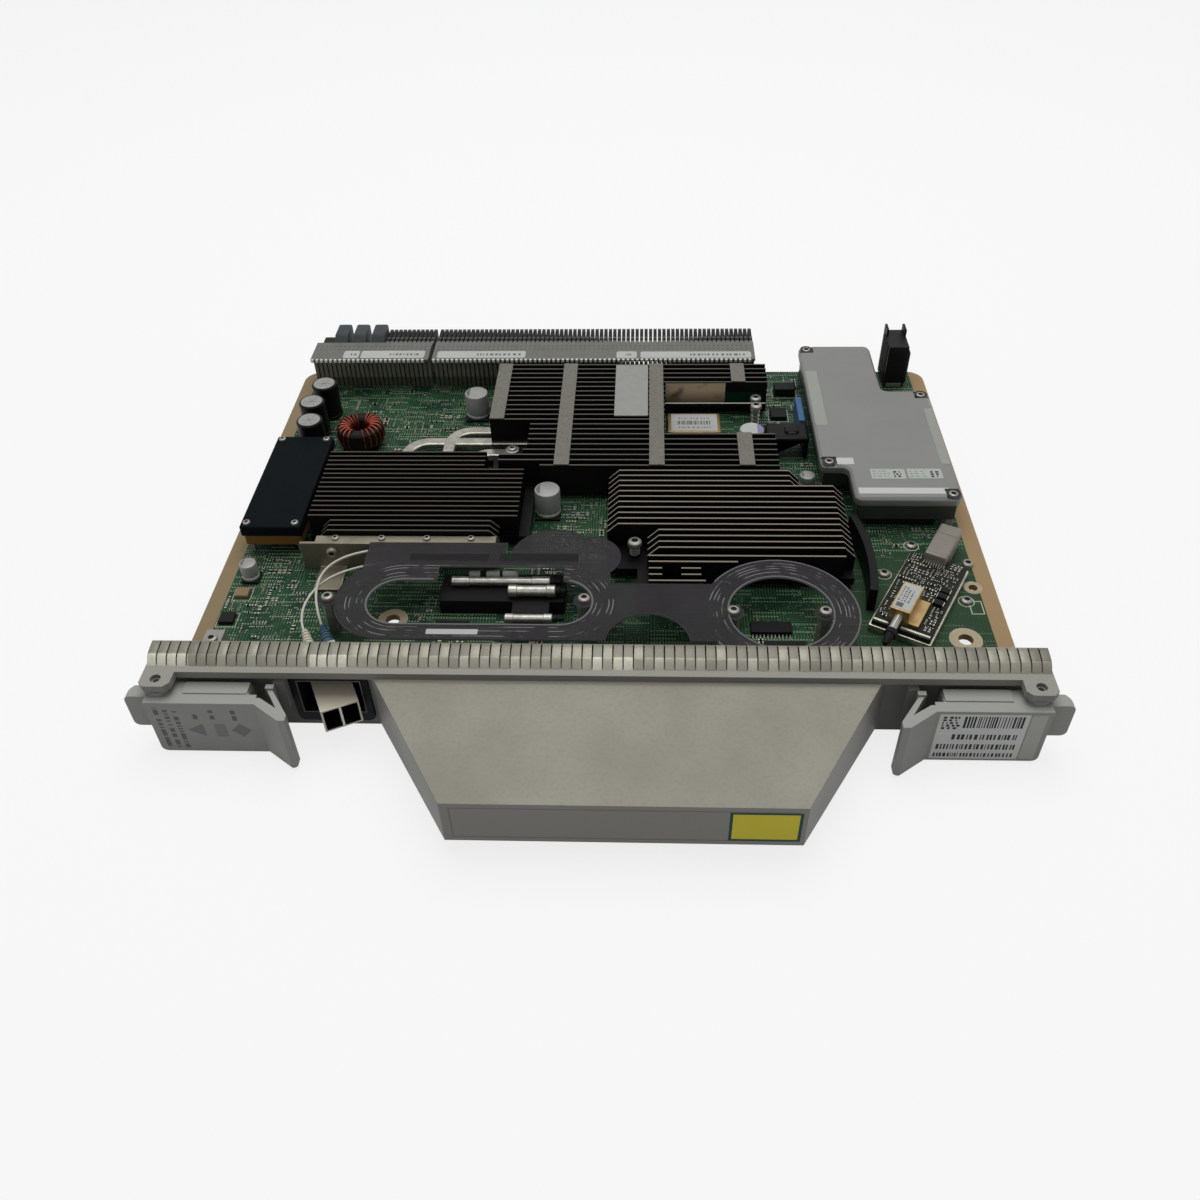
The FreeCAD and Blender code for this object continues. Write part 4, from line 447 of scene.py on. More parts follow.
def black_fins(name, edge):
    """Black anodised fins whose cut top edges are bare metal; painted light adds a highlight on the bridge's
    top, and a reflection of the green board and a lit tan patch on the wall behind the window.
    """
    window_left, chip_end, window_right = 24.5, 50.0, 66.0
    finish = Finish(name, (10, 10, 10), 0.5, gloss=SATIN)
    x, y, z = finish.place
    top = finish.up(0.4) * z.above(19.0)
    finish.paint(finish.noise(7.0, 3.0).ramp(0.4, 0.8) * 0.6, (18, 17, 16))
    finish.paint(top, edge)
    bridge = x.between(23.4, 66.4) * y.between(158.2, 159.5)
    # Painted highlight on the bridge's top.
    finish.paint(top * bridge, (178, 174, 162))
    behind = y.between(169.6, 171.2)
    # Painted reflection of the green board on the wall behind the window.
    finish.paint(behind * x.between(chip_end, window_right) * z.between(9.0, 19.0), (14, 44, 33))
    # Painted light: a lit tan patch on the wall behind the window.
    lit = behind * x.between(window_left, chip_end) * z.between(13.5, 23.5)
    finish.paint(lit * z.ramp(12.0, 20.0) * finish.noise(8.0).ramp(0.2, 0.45), (206, 184, 154))
    finish.set("Roughness", finish.noise(3.0) * 0.2 + 0.35)
    return finish


def speckled_band():
    """Khaki band with small punched marks and mottling."""
    mark_pitch = 1.6
    finish = Finish("speckled_band", (105, 104, 93), 0.5, 0.1)
    x, y, _ = finish.place
    finish.paint(finish.noise(1.0, 3.0).ramp(0.4, 0.7), (92, 88, 77))
    marks = finish.cells(finish.spot(x / mark_pitch, y / mark_pitch), "Distance", 0.9)
    finish.paint(marks.below(0.2), (66, 63, 55))
    finish.bump(finish.noise(0.8), 0.08)
    return finish


def smoky_film():
    """Smoky clear sheet: purple-grey and partly see-through, with broken curved painted highlights of the
    coiled fibre beneath it, painted highlights on its edges and rims, and painted shade in its openings.
    """
    ring_x, ring_y, slot_x, slot_y, slot_half = 61.4, 30.2, -40.0, 34.1, 27.3
    finish = Finish("smoky_film", (52, 50, 52), 0.36, gloss=SATIN)
    x, y, _ = finish.place
    clouds = finish.noise(16.0, 3.0)
    edge = abs(finish.facing[2]).below(0.5)
    from_ring = ((x - ring_x) * (x - ring_x) + (y - ring_y) * (y - ring_y)).math("SQRT")
    past_end = (abs(x - slot_x) - slot_half).math("MAXIMUM", 0.0)
    from_slot = (past_end * past_end + (y - slot_y) * (y - slot_y)).math("SQRT")
    # Painted highlights of the coiled fibre under the sheet, in broken arcs.
    fibre_highlights = 0.0
    for distance, levels in (
        (from_ring, (19.6, 21.4, 22.6, 24.0)), (from_slot, (12.6, 14.4, 16.8, 18.2)),
    ):
        for level in levels:
            fibre_highlights = abs(distance - level).below(0.14) + fibre_highlights
    fibre_highlights = fibre_highlights * finish.noise(6.5, 1.0).ramp(0.5, 0.62)
    finish.paint(clouds.ramp(0.4, 0.7) * 0.5, (64, 61, 64))
    finish.paint(fibre_highlights * 0.8, (150, 149, 152))
    # Painted highlights along the sheet's edges and the rims round the ring and the slot.
    ring_side = x.above(40.0)
    rim = abs(from_ring - 25.9).below(0.3) * ring_side + abs(from_ring - 17.5).below(0.3) * ring_side
    rim = rim + abs(from_slot - 11.2).below(0.35) * (1 - x.between(-57.0, -10.0) * y.above(40.0))
    finish.paint(edge + rim * 0.75, (122, 121, 123))
    # Painted shade: the dark openings in the sheet.
    shaded_openings = x.between(-67.1, -39.2) * y.between(55.0, 58.6)
    shaded_openings = shaded_openings + x.between(-35.2, -7.3) * y.between(55.0, 59.0)
    finish.paint(shaded_openings, (12, 12, 13))
    solid = clouds * 0.1 + (edge + rim + fibre_highlights + shaded_openings) * 0.4 + 0.64
    finish.set("Alpha", solid.math("MINIMUM", 1.0))
    return finish


def copper_turns():
    """Enamelled copper wire with darker red clouds."""
    finish = bare_metal("copper_turns", (164, 80, 58), (96, 38, 26), 0.3, 1.5)
    finish.set("Coat Weight", 0.4)
    return finish


# Plastics: colour, colour of the clouds, roughness, and grain and gloss where they are unusual
PLASTICS = {
    "bezel_black": ((17, 19, 23), (12, 13, 16), 0.55),
    "plug_white": ((214, 211, 200), (190, 186, 174), 0.4),
    "boot_white": ((218, 213, 194), (196, 190, 168), 0.5),
    "boot_blue": ((74, 100, 120), (58, 82, 102), 0.5),
    "fibre_jacket": ((222, 219, 208), (200, 196, 182), 0.4),
    "key_slate": ((70, 75, 79), (56, 60, 64), 0.45),
    "socket_black": ((24, 24, 25), (16, 16, 17), 0.45),
    "brick_black": ((13, 18, 20), (10, 14, 16), 0.6, 0.8, 0.03),
    "brick_tan": ((122, 90, 44), (82, 60, 30), 0.55),
    "bulk_black": ((16, 16, 17), (10, 10, 11), 0.36),
    "core_dark": ((27, 29, 25), (18, 19, 17), 0.6),
    "chip_black": ((22, 23, 24), (15, 16, 17), 0.5),
    "holder_black": ((22, 22, 23), (14, 14, 15), 0.5),
    "boot_rubber": ((26, 26, 27), (16, 16, 17), 0.55),
    "sleeve_white": ((208, 208, 204), (190, 190, 184), 0.45),
    "laser_green": ((34, 38, 29), (24, 28, 21), 0.55),
    "guide_black": ((13, 13, 14), (8, 8, 9), 0.42),
    "strip_blue": ((84, 116, 160), (60, 86, 124), 0.45),
    "recess_dark": ((18, 18, 18), (10, 10, 10), 0.6),
    "recess_grey": ((112, 112, 111), (100, 100, 99), 0.55),
    "socket_grey": ((58, 57, 54), (44, 43, 41), 0.55),
    "label_paper": ((196, 198, 196), (184, 186, 184), 0.55),
    "label_print": ((52, 52, 54), (40, 40, 42), 0.6),
    "cover_tape": ((164, 166, 160), (155, 157, 151), 0.5),
    "cover_tag": ((188, 192, 186), (178, 182, 175), 0.55),
    "sticker_lavender": ((150, 140, 186), (136, 126, 172), 0.5),
    "board_print": ((196, 202, 186), (176, 184, 166), 0.6),
    "ceramic_tan": ((146, 124, 94), (116, 96, 70), 0.45),
    "tab_white": ((222, 222, 214), (200, 200, 192), 0.45),
}
# Metals: colour, colour of the clouds, roughness, size of the clouds and metallic share
METALS = {
    "steel": ((152, 150, 144), (112, 109, 102), 0.4, 2.0, 0.5),
    # base_metal is painted dark, for the shade under the module cover.
    "base_metal": ((50, 54, 48), (34, 38, 33), 0.5, 8.0, 0.4),
    "can_silver": ((152, 153, 149), (134, 135, 131), 0.5, 4.0, 0.25),
    "pipe_metal": ((166, 163, 154), (112, 108, 98), 0.3, 3.0, 0.8),
    "plate_metal": ((146, 147, 142), (136, 137, 132), 0.5, 5.0, 0.15),
    "tube_bright": ((166, 164, 157), (112, 109, 102), 0.32, 2.5, 0.75),
    "bracket_metal": ((132, 126, 110), (102, 96, 82), 0.42, 6.0, 0.7),
    "carrier_metal": ((186, 182, 170), (140, 136, 124), 0.32, 4.0),
    "clip_metal": ((128, 123, 114), (118, 113, 104), 0.5, 5.0, 0.2),
    "pale_metal": ((206, 203, 193), (168, 165, 154), 0.34, 1.5, 0.6),
    "hole_plating": ((170, 156, 130), (152, 138, 112), 0.5, 1.5, 0.2),
}
FINISHES = {
    "board_green": circuit_board(), "cast_grey": casting(), "spring_metal": spring_strip(),
    "left_lever_grey": lever_grip("left_lever_grey", True),
    "right_lever_grey": lever_grip("right_lever_grey", False),
    "adapter_metal": adapter_shell(), "wafer_grey": contact_wafers(),
    "stiffener_metal": pressed_strip(), "cover_metal": satin_cover(), "copper_wire": copper_turns(),
    # The fins' top edges are bare metal; their three tones differ by how light falls on each sink, which is
    # painted light.
    "left_fins": black_fins("left_fins", (82, 76, 66)),
    "rear_fins": black_fins("rear_fins", (92, 90, 83)),
    "front_fins": black_fins("front_fins", (142, 134, 120)),
    "band_metal": speckled_band(), "tray_film": smoky_film(), "gold_plate": gold_can(),
    **{name: moulded(name, *how) for name, how in PLASTICS.items()},
    **{name: bare_metal(name, *how) for name, how in METALS.items()},
}
SLOT_OF = {part["node"]: part["material_slot"] for part in frame["record"]["subparts"]}
for node, slot in SLOT_OF.items():
    frame["nodes"][node].material_slots[0].material = FINISHES[slot].material


# Shapes

def bevel(solid, edges, offset, segments):
    """Rounds the given edges and returns the faces that this makes."""
    return bmesh.ops.bevel(solid, geom=edges, offset=offset, offset_type="OFFSET", segments=segments,
                           profile=0.5, affect="EDGES", clamp_overlap=True, material=-1)["faces"]


def soften(solid, round_by, segments=2):
    """Rounds every edge that turns by more than a shallow angle; flat faces keep a flat shading."""
    shallow, straight = math.radians(25), math.radians(0.5)
    sharp = [edge for edge in solid.edges if edge.is_manifold and edge.calc_face_angle() > shallow]
    rounded = set(bevel(solid, sharp, round_by, segments))
    for face in solid.faces:
        face.smooth = face in rounded or any(
            edge.is_manifold and edge.calc_face_angle() > straight and rounded.isdisjoint(edge.link_faces)
            for edge in face.edges)
    return solid


def block(low, high):
    """A bare block between two corners, for small marks and parts repeated many times."""
    solid = bmesh.new()
    low, high = Vector(low), Vector(high)
    bmesh.ops.create_cube(solid, size=1.0)
    bmesh.ops.scale(solid, vec=high - low, verts=solid.verts)
    bmesh.ops.translate(solid, vec=(low + high) / 2, verts=solid.verts)
    return solid


def slab(low, high, round_by=0.1, segments=1):
    """A block between two corners with its edges broken."""
    return soften(block(low, high), round_by, segments)


def card(low, high, corner):
    """A thin flat label with its upright corners rounded."""
    solid = block(low, high)
    bevel(solid, [e for e in solid.edges if abs(e.verts[0].co.z - e.verts[1].co.z) > 0.001], corner, 3)
    return solid


def plate(outline, low, high, round_by):
    """A flat outline of (x, y) points given thickness."""
    solid = bmesh.new()
    face = solid.faces.new([solid.verts.new((x, y, low)) for x, y in outline])
    grown = bmesh.ops.extrude_face_region(solid, geom=[face])
    top = [item for item in grown["geom"] if isinstance(item, bmesh.types.BMVert)]
    bmesh.ops.translate(solid, vec=(0, 0, high - low), verts=top)
    bmesh.ops.recalc_face_normals(solid, faces=solid.faces)
    return soften(solid, round_by, 1)


def arc(reach, first, last):
    """Points of a flat arc, every ten degrees."""
    turns = [math.radians(turn) for turn in range(first, last + 1, 10)]
    return [(reach * math.cos(turn), reach * math.sin(turn)) for turn in turns]


def turned(profile, sides=24):
    """A solid turned about Z from (radius, height) points."""
    solid = bmesh.new()
    points = [solid.verts.new((radius, 0, height)) for radius, height in profile]
    edges = [solid.edges.new(pair) for pair in zip(points, points[1:])]
    bmesh.ops.spin(solid, geom=points + edges, axis=(0, 0, 1), cent=(0, 0, 0), angle=FULL_TURN,
                   steps=sides, use_merge=True, use_duplicate=False)
    bmesh.ops.remove_doubles(solid, verts=solid.verts, dist=0.001)
    bmesh.ops.recalc_face_normals(solid, faces=solid.faces)
    for face in solid.faces:
        face.smooth = True
    return solid


def flat_ring(inner, outer, rise, sides):
    return turned([(inner, 0), (outer, 0), (outer, rise), (inner, rise), (inner, 0)], sides)


def wire_turn(wide, high, wire_radius, sides=20):
    """One turn of wire: a ring of the given width and height, standing in the XZ plane."""
    corners = 6
    angles = [FULL_TURN * index / corners for index in range(corners + 1)]
    ring = turned([(wide / 2 + wire_radius * math.cos(angle), wire_radius * math.sin(angle))
                   for angle in angles], sides)
    bmesh.ops.transform(ring, matrix=Matrix.Rotation(math.pi / 2, 4, "X"), verts=ring.verts)
    bmesh.ops.scale(ring, vec=(1, 1, high / wide), verts=ring.verts)
    return ring


def at(x, y, z, turn=0.0, axis="Z"):
    return Matrix.Translation((x, y, z)) @ Matrix.Rotation(math.radians(turn), 4, axis)


LASER_FRAME = at(LASER_X, LASER_Y, 0.0, LASER_TURN)


def place(shape, solid, look=0, matrix=None):
    """Adds a solid to a shape, moved by a matrix, in one of the shape's looks."""
    if matrix is not None:
        bmesh.ops.transform(solid, matrix=matrix, verts=solid.verts)
    for face in solid.faces:
        face.material_index = look
    carrier = bpy.data.meshes.new("carrier")
    solid.to_mesh(carrier)
    solid.free()
    shape.from_mesh(carrier)
    bpy.data.meshes.remove(carrier)


def cad_shape(node):
    """A copy of a CAD node in millimetres, its loose triangles joined into whole faces."""
    shape = bmesh.new()
    shape.from_mesh(frame["nodes"][node].data)
    bmesh.ops.scale(shape, vec=(1 / MM, 1 / MM, 1 / MM), verts=shape.verts)
    bmesh.ops.remove_doubles(shape, verts=shape.verts, dist=0.001)
    bmesh.ops.dissolve_limit(shape, angle_limit=math.radians(1), verts=shape.verts, edges=shape.edges)
    return shape


def span(points):
    """The two corners of the box round some points."""
    return [Vector([pick(co[axis] for co in points) for axis in range(3)]) for pick in (min, max)]


def middle(box):
    return (box[0] + box[1]) / 2


def box_of(node):
    return [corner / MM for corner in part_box(node)]


def solids(node):
    """The corners of each separate solid in a CAD node, in millimetres."""
    shape = cad_shape(node)
    left = set(shape.verts)
    boxes = []
    while left:
        queue = [left.pop()]
        found = []
        while queue:
            point = queue.pop()
            found.append(point.co.copy())
            for link in point.link_edges:
                other = link.other_vert(point)
                if other in left:
                    left.remove(other)
                    queue.append(other)
        boxes.append(span(found))
    shape.free()
    return sorted(boxes, key=lambda box: tuple(box[0]))


def standing(node):
    """The foot, radius and height of each upright round solid in a CAD node."""
    for low, high in solids(node):
        x, y, _ = middle((low, high))
        yield at(x, y, low.z), (high.x - low.x) / 2, high.z - low.z


def lying(node):
    """The same for round solids that lie along X, from their left end."""
    for low, high in solids(node):
        _, y, z = middle((low, high))
        yield at(low.x, y, z, 90, "Y"), (high.y - low.y) / 2, high.x - low.x


def piece(name, shape, looks, stands_for=(), body="pack", smooth=32):
    """Finishes a shape as a named piece that rides a body, with the looks that its faces use."""
    bmesh.ops.scale(shape, vec=(MM, MM, MM), verts=shape.verts)
    curved = [face.smooth for face in shape.faces]
    mesh = bpy.data.meshes.new(name)
    shape.to_mesh(mesh)
    shape.free()
    stale = mesh.attributes.get("custom_normal")
    if stale is not None:
        mesh.attributes.remove(stale)
    mesh.set_sharp_from_angle(angle=math.radians(smooth))
    mesh.polygons.foreach_set("use_smooth", curved)
    return settle(name, mesh, looks, stands_for, body)


def settle(name, data, looks, stands_for, body):
    """Puts a piece in the scene, on its body, and hides the CAD parts that it stands for."""
    thing = bpy.data.objects.new(name, data)
    for look in looks:
        data.materials.append(FINISHES[look].material)
    bpy.context.scene.collection.objects.link(thing)
    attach(thing, body)
    slots = [look for look in looks if look in SLOT_OF.values()]
    if stands_for:
        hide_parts(*stands_for)
    return thing


def wire(name, look, points, radius, stands_for):
    """A smooth round strand with the route's points, in millimetres, as control points."""
    line = bpy.data.curves.new(name, "CURVE")
    line.dimensions = "3D"
    line.bevel_depth = radius * MM
    line.bevel_resolution = 3
    line.use_fill_caps = True
    spline = line.splines.new("NURBS")
    spline.points.add(len(points) - 1)
    for control, point in zip(spline.points, points):
        control.co = (*(Vector(point) * MM), 1.0)
    spline.order_u = 3
    spline.use_endpoint_u = True
    spline.resolution_u = 12
    return settle(name, line, [look], stands_for, "pack")


# Pieces whose CAD shape is right but for its edges, each with the radius of its edges

ROUNDED = {
    "faceplate": 0.5, "optical_adapter": 0.2, "fibre_plugs": 0.4,
    "left_stiffener": 0.2, "right_stiffener": 0.2, "key_blocks": 0.8, "end_block": 0.6,
    "guide_socket": 0.4, "module_cover": 0.35, "module_base": 0.4, "brick_cover": 0.5,
    "brick_board": 0.2, "capacitor_bases": 0.4, "choke_base": 0.4, "fin_bands": 0.15, "sink_plate": 0.2,
    "tray_bracket": 0.3, "laser_carrier": 0.3, "laser_board": 0.15, "laser_package": 0.2,
    "shield_clip": 0.9, "fibre_guide": 0.4, "fibre_strap": 1.6, "strip_connector": 0.3,
    "splice_holder": 0.4, "fibre_tray": 0.2,
}


def round_corners(shape, radius, wanted):
    """Rounds the corners, seen from the front, that a test picks, one edge at a time."""
    steep, near = math.radians(60), 0.6

    def centre(edge):
        return (edge.verts[0].co + edge.verts[1].co) / 2

    def corners():
        for edge in shape.edges:
            along = (edge.verts[1].co - edge.verts[0].co).normalized()
            sharp = abs(along.y) > 0.8 and edge.is_manifold and edge.calc_face_angle() > steep
            if sharp and wanted(centre(edge)):
                yield edge

    for spot in [centre(edge) for edge in corners()]:
        found = [edge for edge in corners() if (centre(edge) - spot).length < near]
        if found:
            bevel(shape, found[:1], radius, 4)
    return shape


def lever_corner(spot):
    """Along a lever's foot, at its jaw, and on its top outward of the latch arm."""
    foot, jaw, top, arm = 2.0, 143.0, 22.0, 106.0
    return spot.z < foot or abs(spot.x) > jaw or (spot.z > top and abs(spot.x) > arm)


def make_rounded_copies():
    for node, radius in ROUNDED.items():
        piece(node + "_rounded", soften(cad_shape(node), radius), [SLOT_OF[node]], [node])
    for side in LEVERS:
        shape = round_corners(cad_shape(side), 2.0, lever_corner)
        piece(side + "_rounded", soften(shape, 0.6, 3), [SLOT_OF[side]], [side], side)


def make_lever_ridges():
    """The raised rear part of each lever's top, behind the ledge of its front plate."""
    inner, outer, front, rear, foot, top = 107.1, 127.6, -10.3, -5.4, 23.2, 23.95
    for side, way in LEVERS.items():
        near, far = sorted((way * inner, way * outer))
        shape = bmesh.new()
        place(shape, slab((near, front, foot), (far, rear, top), 0.2, 2))
        piece(side + "_ridge", shape, [SLOT_OF[side]], body=side)


# Shielding strip

def make_finger_strip():
    """Bent fingers, each crowned across its width and free of the next at the front."""
    bend = [
        (-3.2, 28.5), (-2.75, 29.3), (-2.0, 30.2), (-1.2, 30.9), (-0.3, 31.35), (1.2, 31.65), (2.8, 31.85),
        (4.2, 31.95), (5.1, 31.5), (5.65, 30.7), (5.85, 29.4), (5.85, 27.2), (5.7, 25.75), (4.6, 25.5),
        (2.8, 25.5),
    ]
    free_depth, free_height = 4.6, 27.0
    sheet, crown, steps = 0.35, 0.12, 4
    left = box_of("finger_strip")[0].x
    shape = bmesh.new()
    for index in range(FINGER_COUNT):
        finger = bmesh.new()
        line = [finger.verts.new((0, y, z)) for y, z in bend]
        run = [finger.edges.new(pair) for pair in zip(line, line[1:])]
        for _ in range(steps):
            grown = bmesh.ops.extrude_edge_only(finger, edges=run)["geom"]
            fresh = [item for item in grown if isinstance(item, bmesh.types.BMVert)]
            bmesh.ops.translate(finger, vec=(FINGER_PITCH / steps, 0, 0), verts=fresh)
            edges = [item for item in grown if isinstance(item, bmesh.types.BMEdge)]
            run = [edge for edge in edges if set(fresh).issuperset(edge.verts)]
        for point in finger.verts:
            if point.co.y < free_depth and point.co.z > free_height:
                share = point.co.x / FINGER_PITCH - 0.5
                point.co.x -= share * FINGER_SLIT
                point.co.z -= 4 * share * share * crown
        place(shape, finger, 0, at(left + FINGER_PITCH * index, 0, 0))
    bmesh.ops.remove_doubles(shape, verts=shape.verts, dist=0.001)
    bmesh.ops.recalc_face_normals(shape, faces=shape.faces)
    bmesh.ops.solidify(shape, geom=shape.faces, thickness=sheet)
    for face in shape.faces:
        face.smooth = True
    piece("spring_fingers", shape, ["spring_metal"], ["finger_strip"], smooth=50)


# Screws and pins; a head's socket is the second look, a darker grey that is painted shade

SCREW_LOOKS = ["steel", "socket_grey"]


def add_screw(shape, radius, height, matrix):
    """A pan head with a rounded rim, and its socket, darkened with painted shade."""
    rim = (0.46 * radius, 0.9 * height)
    head = [
        (0, 0), (radius, 0), (radius, 0.35 * height), (0.93 * radius, 0.72 * height),
        (0.72 * radius, 0.95 * height), (0.5 * radius, height), rim,
    ]
    socket = [(0, 0.45 * height), (0.42 * radius, 0.5 * height), rim]
    for look, profile in enumerate((head, socket)):
        place(shape, turned(profile, 20), look, matrix)


def make_screws():
    """Upright screws, and those that face the front."""
    for node in ("pan_head_screws", "small_screws"):
        shape = bmesh.new()
        for low, high in solids(node):
            size = high - low
            x, y, z = middle((low, high))
            if size.y < min(size.x, size.z):
                add_screw(shape, size.x / 2, size.y, at(x, high.y, z, 90, "X"))
            else:
                add_screw(shape, size.x / 2, size.z, at(x, y, low.z))
        piece(node[:-1] + "_set", shape, SCREW_LOOKS, [node])


def make_sink_screws():
    """One screw on a washer, and one on a pin that a spring surrounds."""
    sheet, head_height = 0.4, 2.0
    washer, sprung = solids("sink_screws")
    shape = bmesh.new()
    x, y, _ = middle(washer)
    base = washer[0].z
    place(shape, turned([(0, 0), (2.8, 0), (2.8, 0.35), (2.6, 0.45), (0, 0.45)]), 0, at(x, y, base))
    add_screw(shape, 1.9, washer[1].z - base - sheet, at(x, y, base + sheet))
    x, y, _ = middle(sprung)
    base, under = sprung[0].z, sprung[1].z - head_height
    pin = [(0, 0), (1.1, 0), (1.1, under - base), (0, under - base)]
    place(shape, turned(pin, 16), 0, at(x, y, base))
    add_screw(shape, 2.6, head_height, at(x, y, under))
    piece("sink_screw_set", shape, SCREW_LOOKS, ["sink_screws"])


def make_sink_spring():
    coil, thread, end, turns, per_turn = 1.7, 0.28, 0.3, 4, 12
    low, high = box_of("sink_spring")
    x, y, _ = middle((low, high))
    points = []
    for step in range(turns * per_turn + 1):
        angle = FULL_TURN * step / per_turn
        height = low.z + end + (high.z - low.z - 2 * end) * step / (turns * per_turn)
        points.append((x + coil * math.cos(angle), y + coil * math.sin(angle), height))
    wire("sink_coil", "steel", points, thread, ["sink_spring"])


def make_pivot_pins():
    shape = bmesh.new()
    for foot, _, top in standing("pivot_pins"):
        place(shape, turned([
            (0.9, 0), (1.45, 0), (1.6, 0.2), (1.6, top - 0.2), (1.45, top), (0.95, top), (0.9, top - 0.1),
            (0.9, 0),
        ]), 0, foot)
    piece("pivot_pin_set", shape, ["steel"], ["pivot_pins"])


# Heatsinks

def make_heat_pipes():
    """The flattened pipes; the one that crosses another lies a hair higher."""
    rise, rear, left, right = 0.12, 145.5, -68.2, -60.0
    shape = cad_shape("heat_pipes")
    for point in shape.verts:
        if point.co.y > rear or left < point.co.x < right:
            point.co.z += rise
    piece("heat_pipe_set", soften(shape, 0.7, 3), ["pipe_metal"], ["heat_pipes"])


def recut_fin(shape, left, right, front, rear, parts):
    """Takes a fin off its base and puts back what is there of it, as (start, end, foot) lengths."""
    room, sunk = 0.1, 0.05
    fin = [face for face in shape.faces if all(
        left - room < point.co.x < right + room and front < point.co.y < rear for point in face.verts)]
    low, high = span([point.co for face in fin for point in face.verts])
    bmesh.ops.delete(shape, geom=fin, context="FACES")
    bmesh.ops.holes_fill(shape, edges=[edge for edge in shape.edges if edge.is_boundary], sides=0)
    bmesh.ops.recalc_face_normals(shape, faces=shape.faces)
    for start, end, foot in parts:
        place(shape, slab((start, low.y, max(foot, low.z - sunk)), (end, high.y, high.z)))


def make_rear_sink():
    """The rear heatsink, with the bar over its window as a thin bridge held by sprung screws."""
    top, thick, coil_pitch = 21.0, 1.2, 1.8
    shape = cad_shape("rear_heatsink")
    recut_fin(shape, 20.0, 66.2, 158.3, 159.4, ((20.0, 24.0, 0.0), (23.6, 66.2, top - thick)))
    recut_fin(shape, -41.6, 67.8, 120.2, 122.2, ((-32.6, 67.8, 0.0),))
    piece("rear_sink", shape, ["rear_fins"], ["rear_heatsink"])
    screws = bmesh.new()
    for x, y, head in ((62.2, 156.8, top - 1.0), (62.8, 166.4, 17.6)):
        rise = head - BOARD_TOP
        place(screws, turned([(0, 0), (0.9, 0), (0.9, rise), (0, rise)], 12), 0, at(x, y, BOARD_TOP))
        for step in range(int(rise / coil_pitch)):
            coil = turned([(1.0, 0), (1.8, 0.3), (1.8, 0.6), (1.0, 0.9), (1.0, 0)], 16)
            place(screws, coil, 0, at(x, y, BOARD_TOP + 0.6 + step * coil_pitch))
        add_screw(screws, 2.4, 1.8, at(x, y, head))
    piece("bar_screws", screws, SCREW_LOOKS)


def make_front_sink():
    """The front heatsink; two of its short fins have a gap."""
    shape = cad_shape("front_heatsink")
    for front in (48.3, 51.6):
        recut_fin(shape, 17.4, 37.0, front, front + 1.6, ((17.4, 22.1, 0.0), (28.7, 35.6, 0.0)))
    piece("front_sink", shape, ["front_fins"], ["front_heatsink"])


# Capacitors and choke

def make_bulk_capacitors():
    """Sleeved cans, crimped near the foot, with a bare lid that is scored three ways; the scores are darkened
    with painted shade.
    """
    shape = bmesh.new()
    for foot, radius, top in standing("bulk_capacitors"):
        place(shape, turned([
            (0, 0), (radius - 0.4, 0), (radius, 0.4), (radius, 1.2), (radius - 0.45, 1.7), (radius, 2.2),
            (radius, top - 0.5), (radius - 0.45, top - 0.02), (radius - 0.9, top - 0.05),
        ], 32), 0, foot)
        lid = [(0, top - 0.25), (radius - 1.15, top - 0.25), (radius - 0.9, top - 0.05)]
        place(shape, turned(lid, 32), 1, foot)
        # Score lines on the lid, in a darker grey of painted shade.
        for turn in (0, 60, 120):
            score = slab((-0.6 * radius, -0.09, top - 0.26), (0.6 * radius, 0.09, top - 0.215), 0.02)
            place(shape, score, 2, foot @ at(0, 0, 0, turn))
    piece("bulk_cans", shape, ["bulk_black", "can_silver", "recess_grey"], ["bulk_capacitors"])


def make_chip_capacitors():
    """Bare cans with a dark segment on top."""
    shape = bmesh.new()
    for foot, radius, top in standing("chip_capacitors"):
        radius -= 0.05
        place(shape, turned([
            (0, 0), (radius - 0.2, 0), (radius, 0.2), (radius, 0.9), (radius - 0.5, 1.4), (radius - 0.5, 1.7),
            (radius, 2.3), (radius, top - 0.7), (radius - 0.2, top - 0.2), (radius - 0.7, top - 0.03),
            (0, top - 0.03),
        ], 32), 0, foot)
        place(shape, plate(arc(radius - 0.75, 130, 230), top - 0.05, top, 0.005), 1, foot)
    piece("chip_cans", shape, ["can_silver", "recess_grey"], ["chip_capacitors"])


def make_choke():
    """A toroid core, and its wire in two groups of separate turns."""
    inner, corner, count, spread, wire_radius = 4.2, 0.8, 10, 138, 0.42
    low, high = box_of("choke_core")
    x, y, _ = middle((low, high))
    outer, rise = (high.x - low.x) / 2, high.z - low.z
    shape = bmesh.new()
    place(shape, turned([
        (inner, corner), (inner + corner, 0), (outer - corner, 0), (outer, corner), (outer, rise - corner),
        (outer - corner, rise), (inner + corner, rise), (inner, rise - corner), (inner, corner),
    ], 40), 0, at(x, y, low.z))
    piece("choke_ring", shape, ["core_dark"], ["choke_core"])
    low, high = box_of("choke_winding")
    outward = Matrix.Translation(((outer + inner) / 2, 0, 0))
    shape = bmesh.new()
    for side in (0, 180):
        for index in range(count):
            turn = side - spread / 2 + spread * index / (count - 1)
            ring = wire_turn(outer - inner + 0.9, high.z - low.z - 2 * wire_radius, wire_radius)
            place(shape, ring, 0, at(x, y, (low.z + high.z) / 2, turn) @ outward)
    piece("choke_turns", shape, ["copper_wire"], ["choke_winding"], smooth=60)


# Boots, fibres and splices

ALONG_Y = Matrix.Rotation(-math.pi / 2, 4, "X")
FIBRE_RADIUS = 0.45
ROUTES = {
    "white": [(-100.63, 28.66, 13.2), (-105.31, 38.65, 14.25), (-94.73, 58.04, 16.29),
              (-74.84, 60.82, 16.58)],
    "blue": [(-94.96, 31.30, 13.2), (-102.22, 46.45, 16.7), (-93.05, 61.92, 20.27),
             (-76.95, 63.29, 20.58)],
}


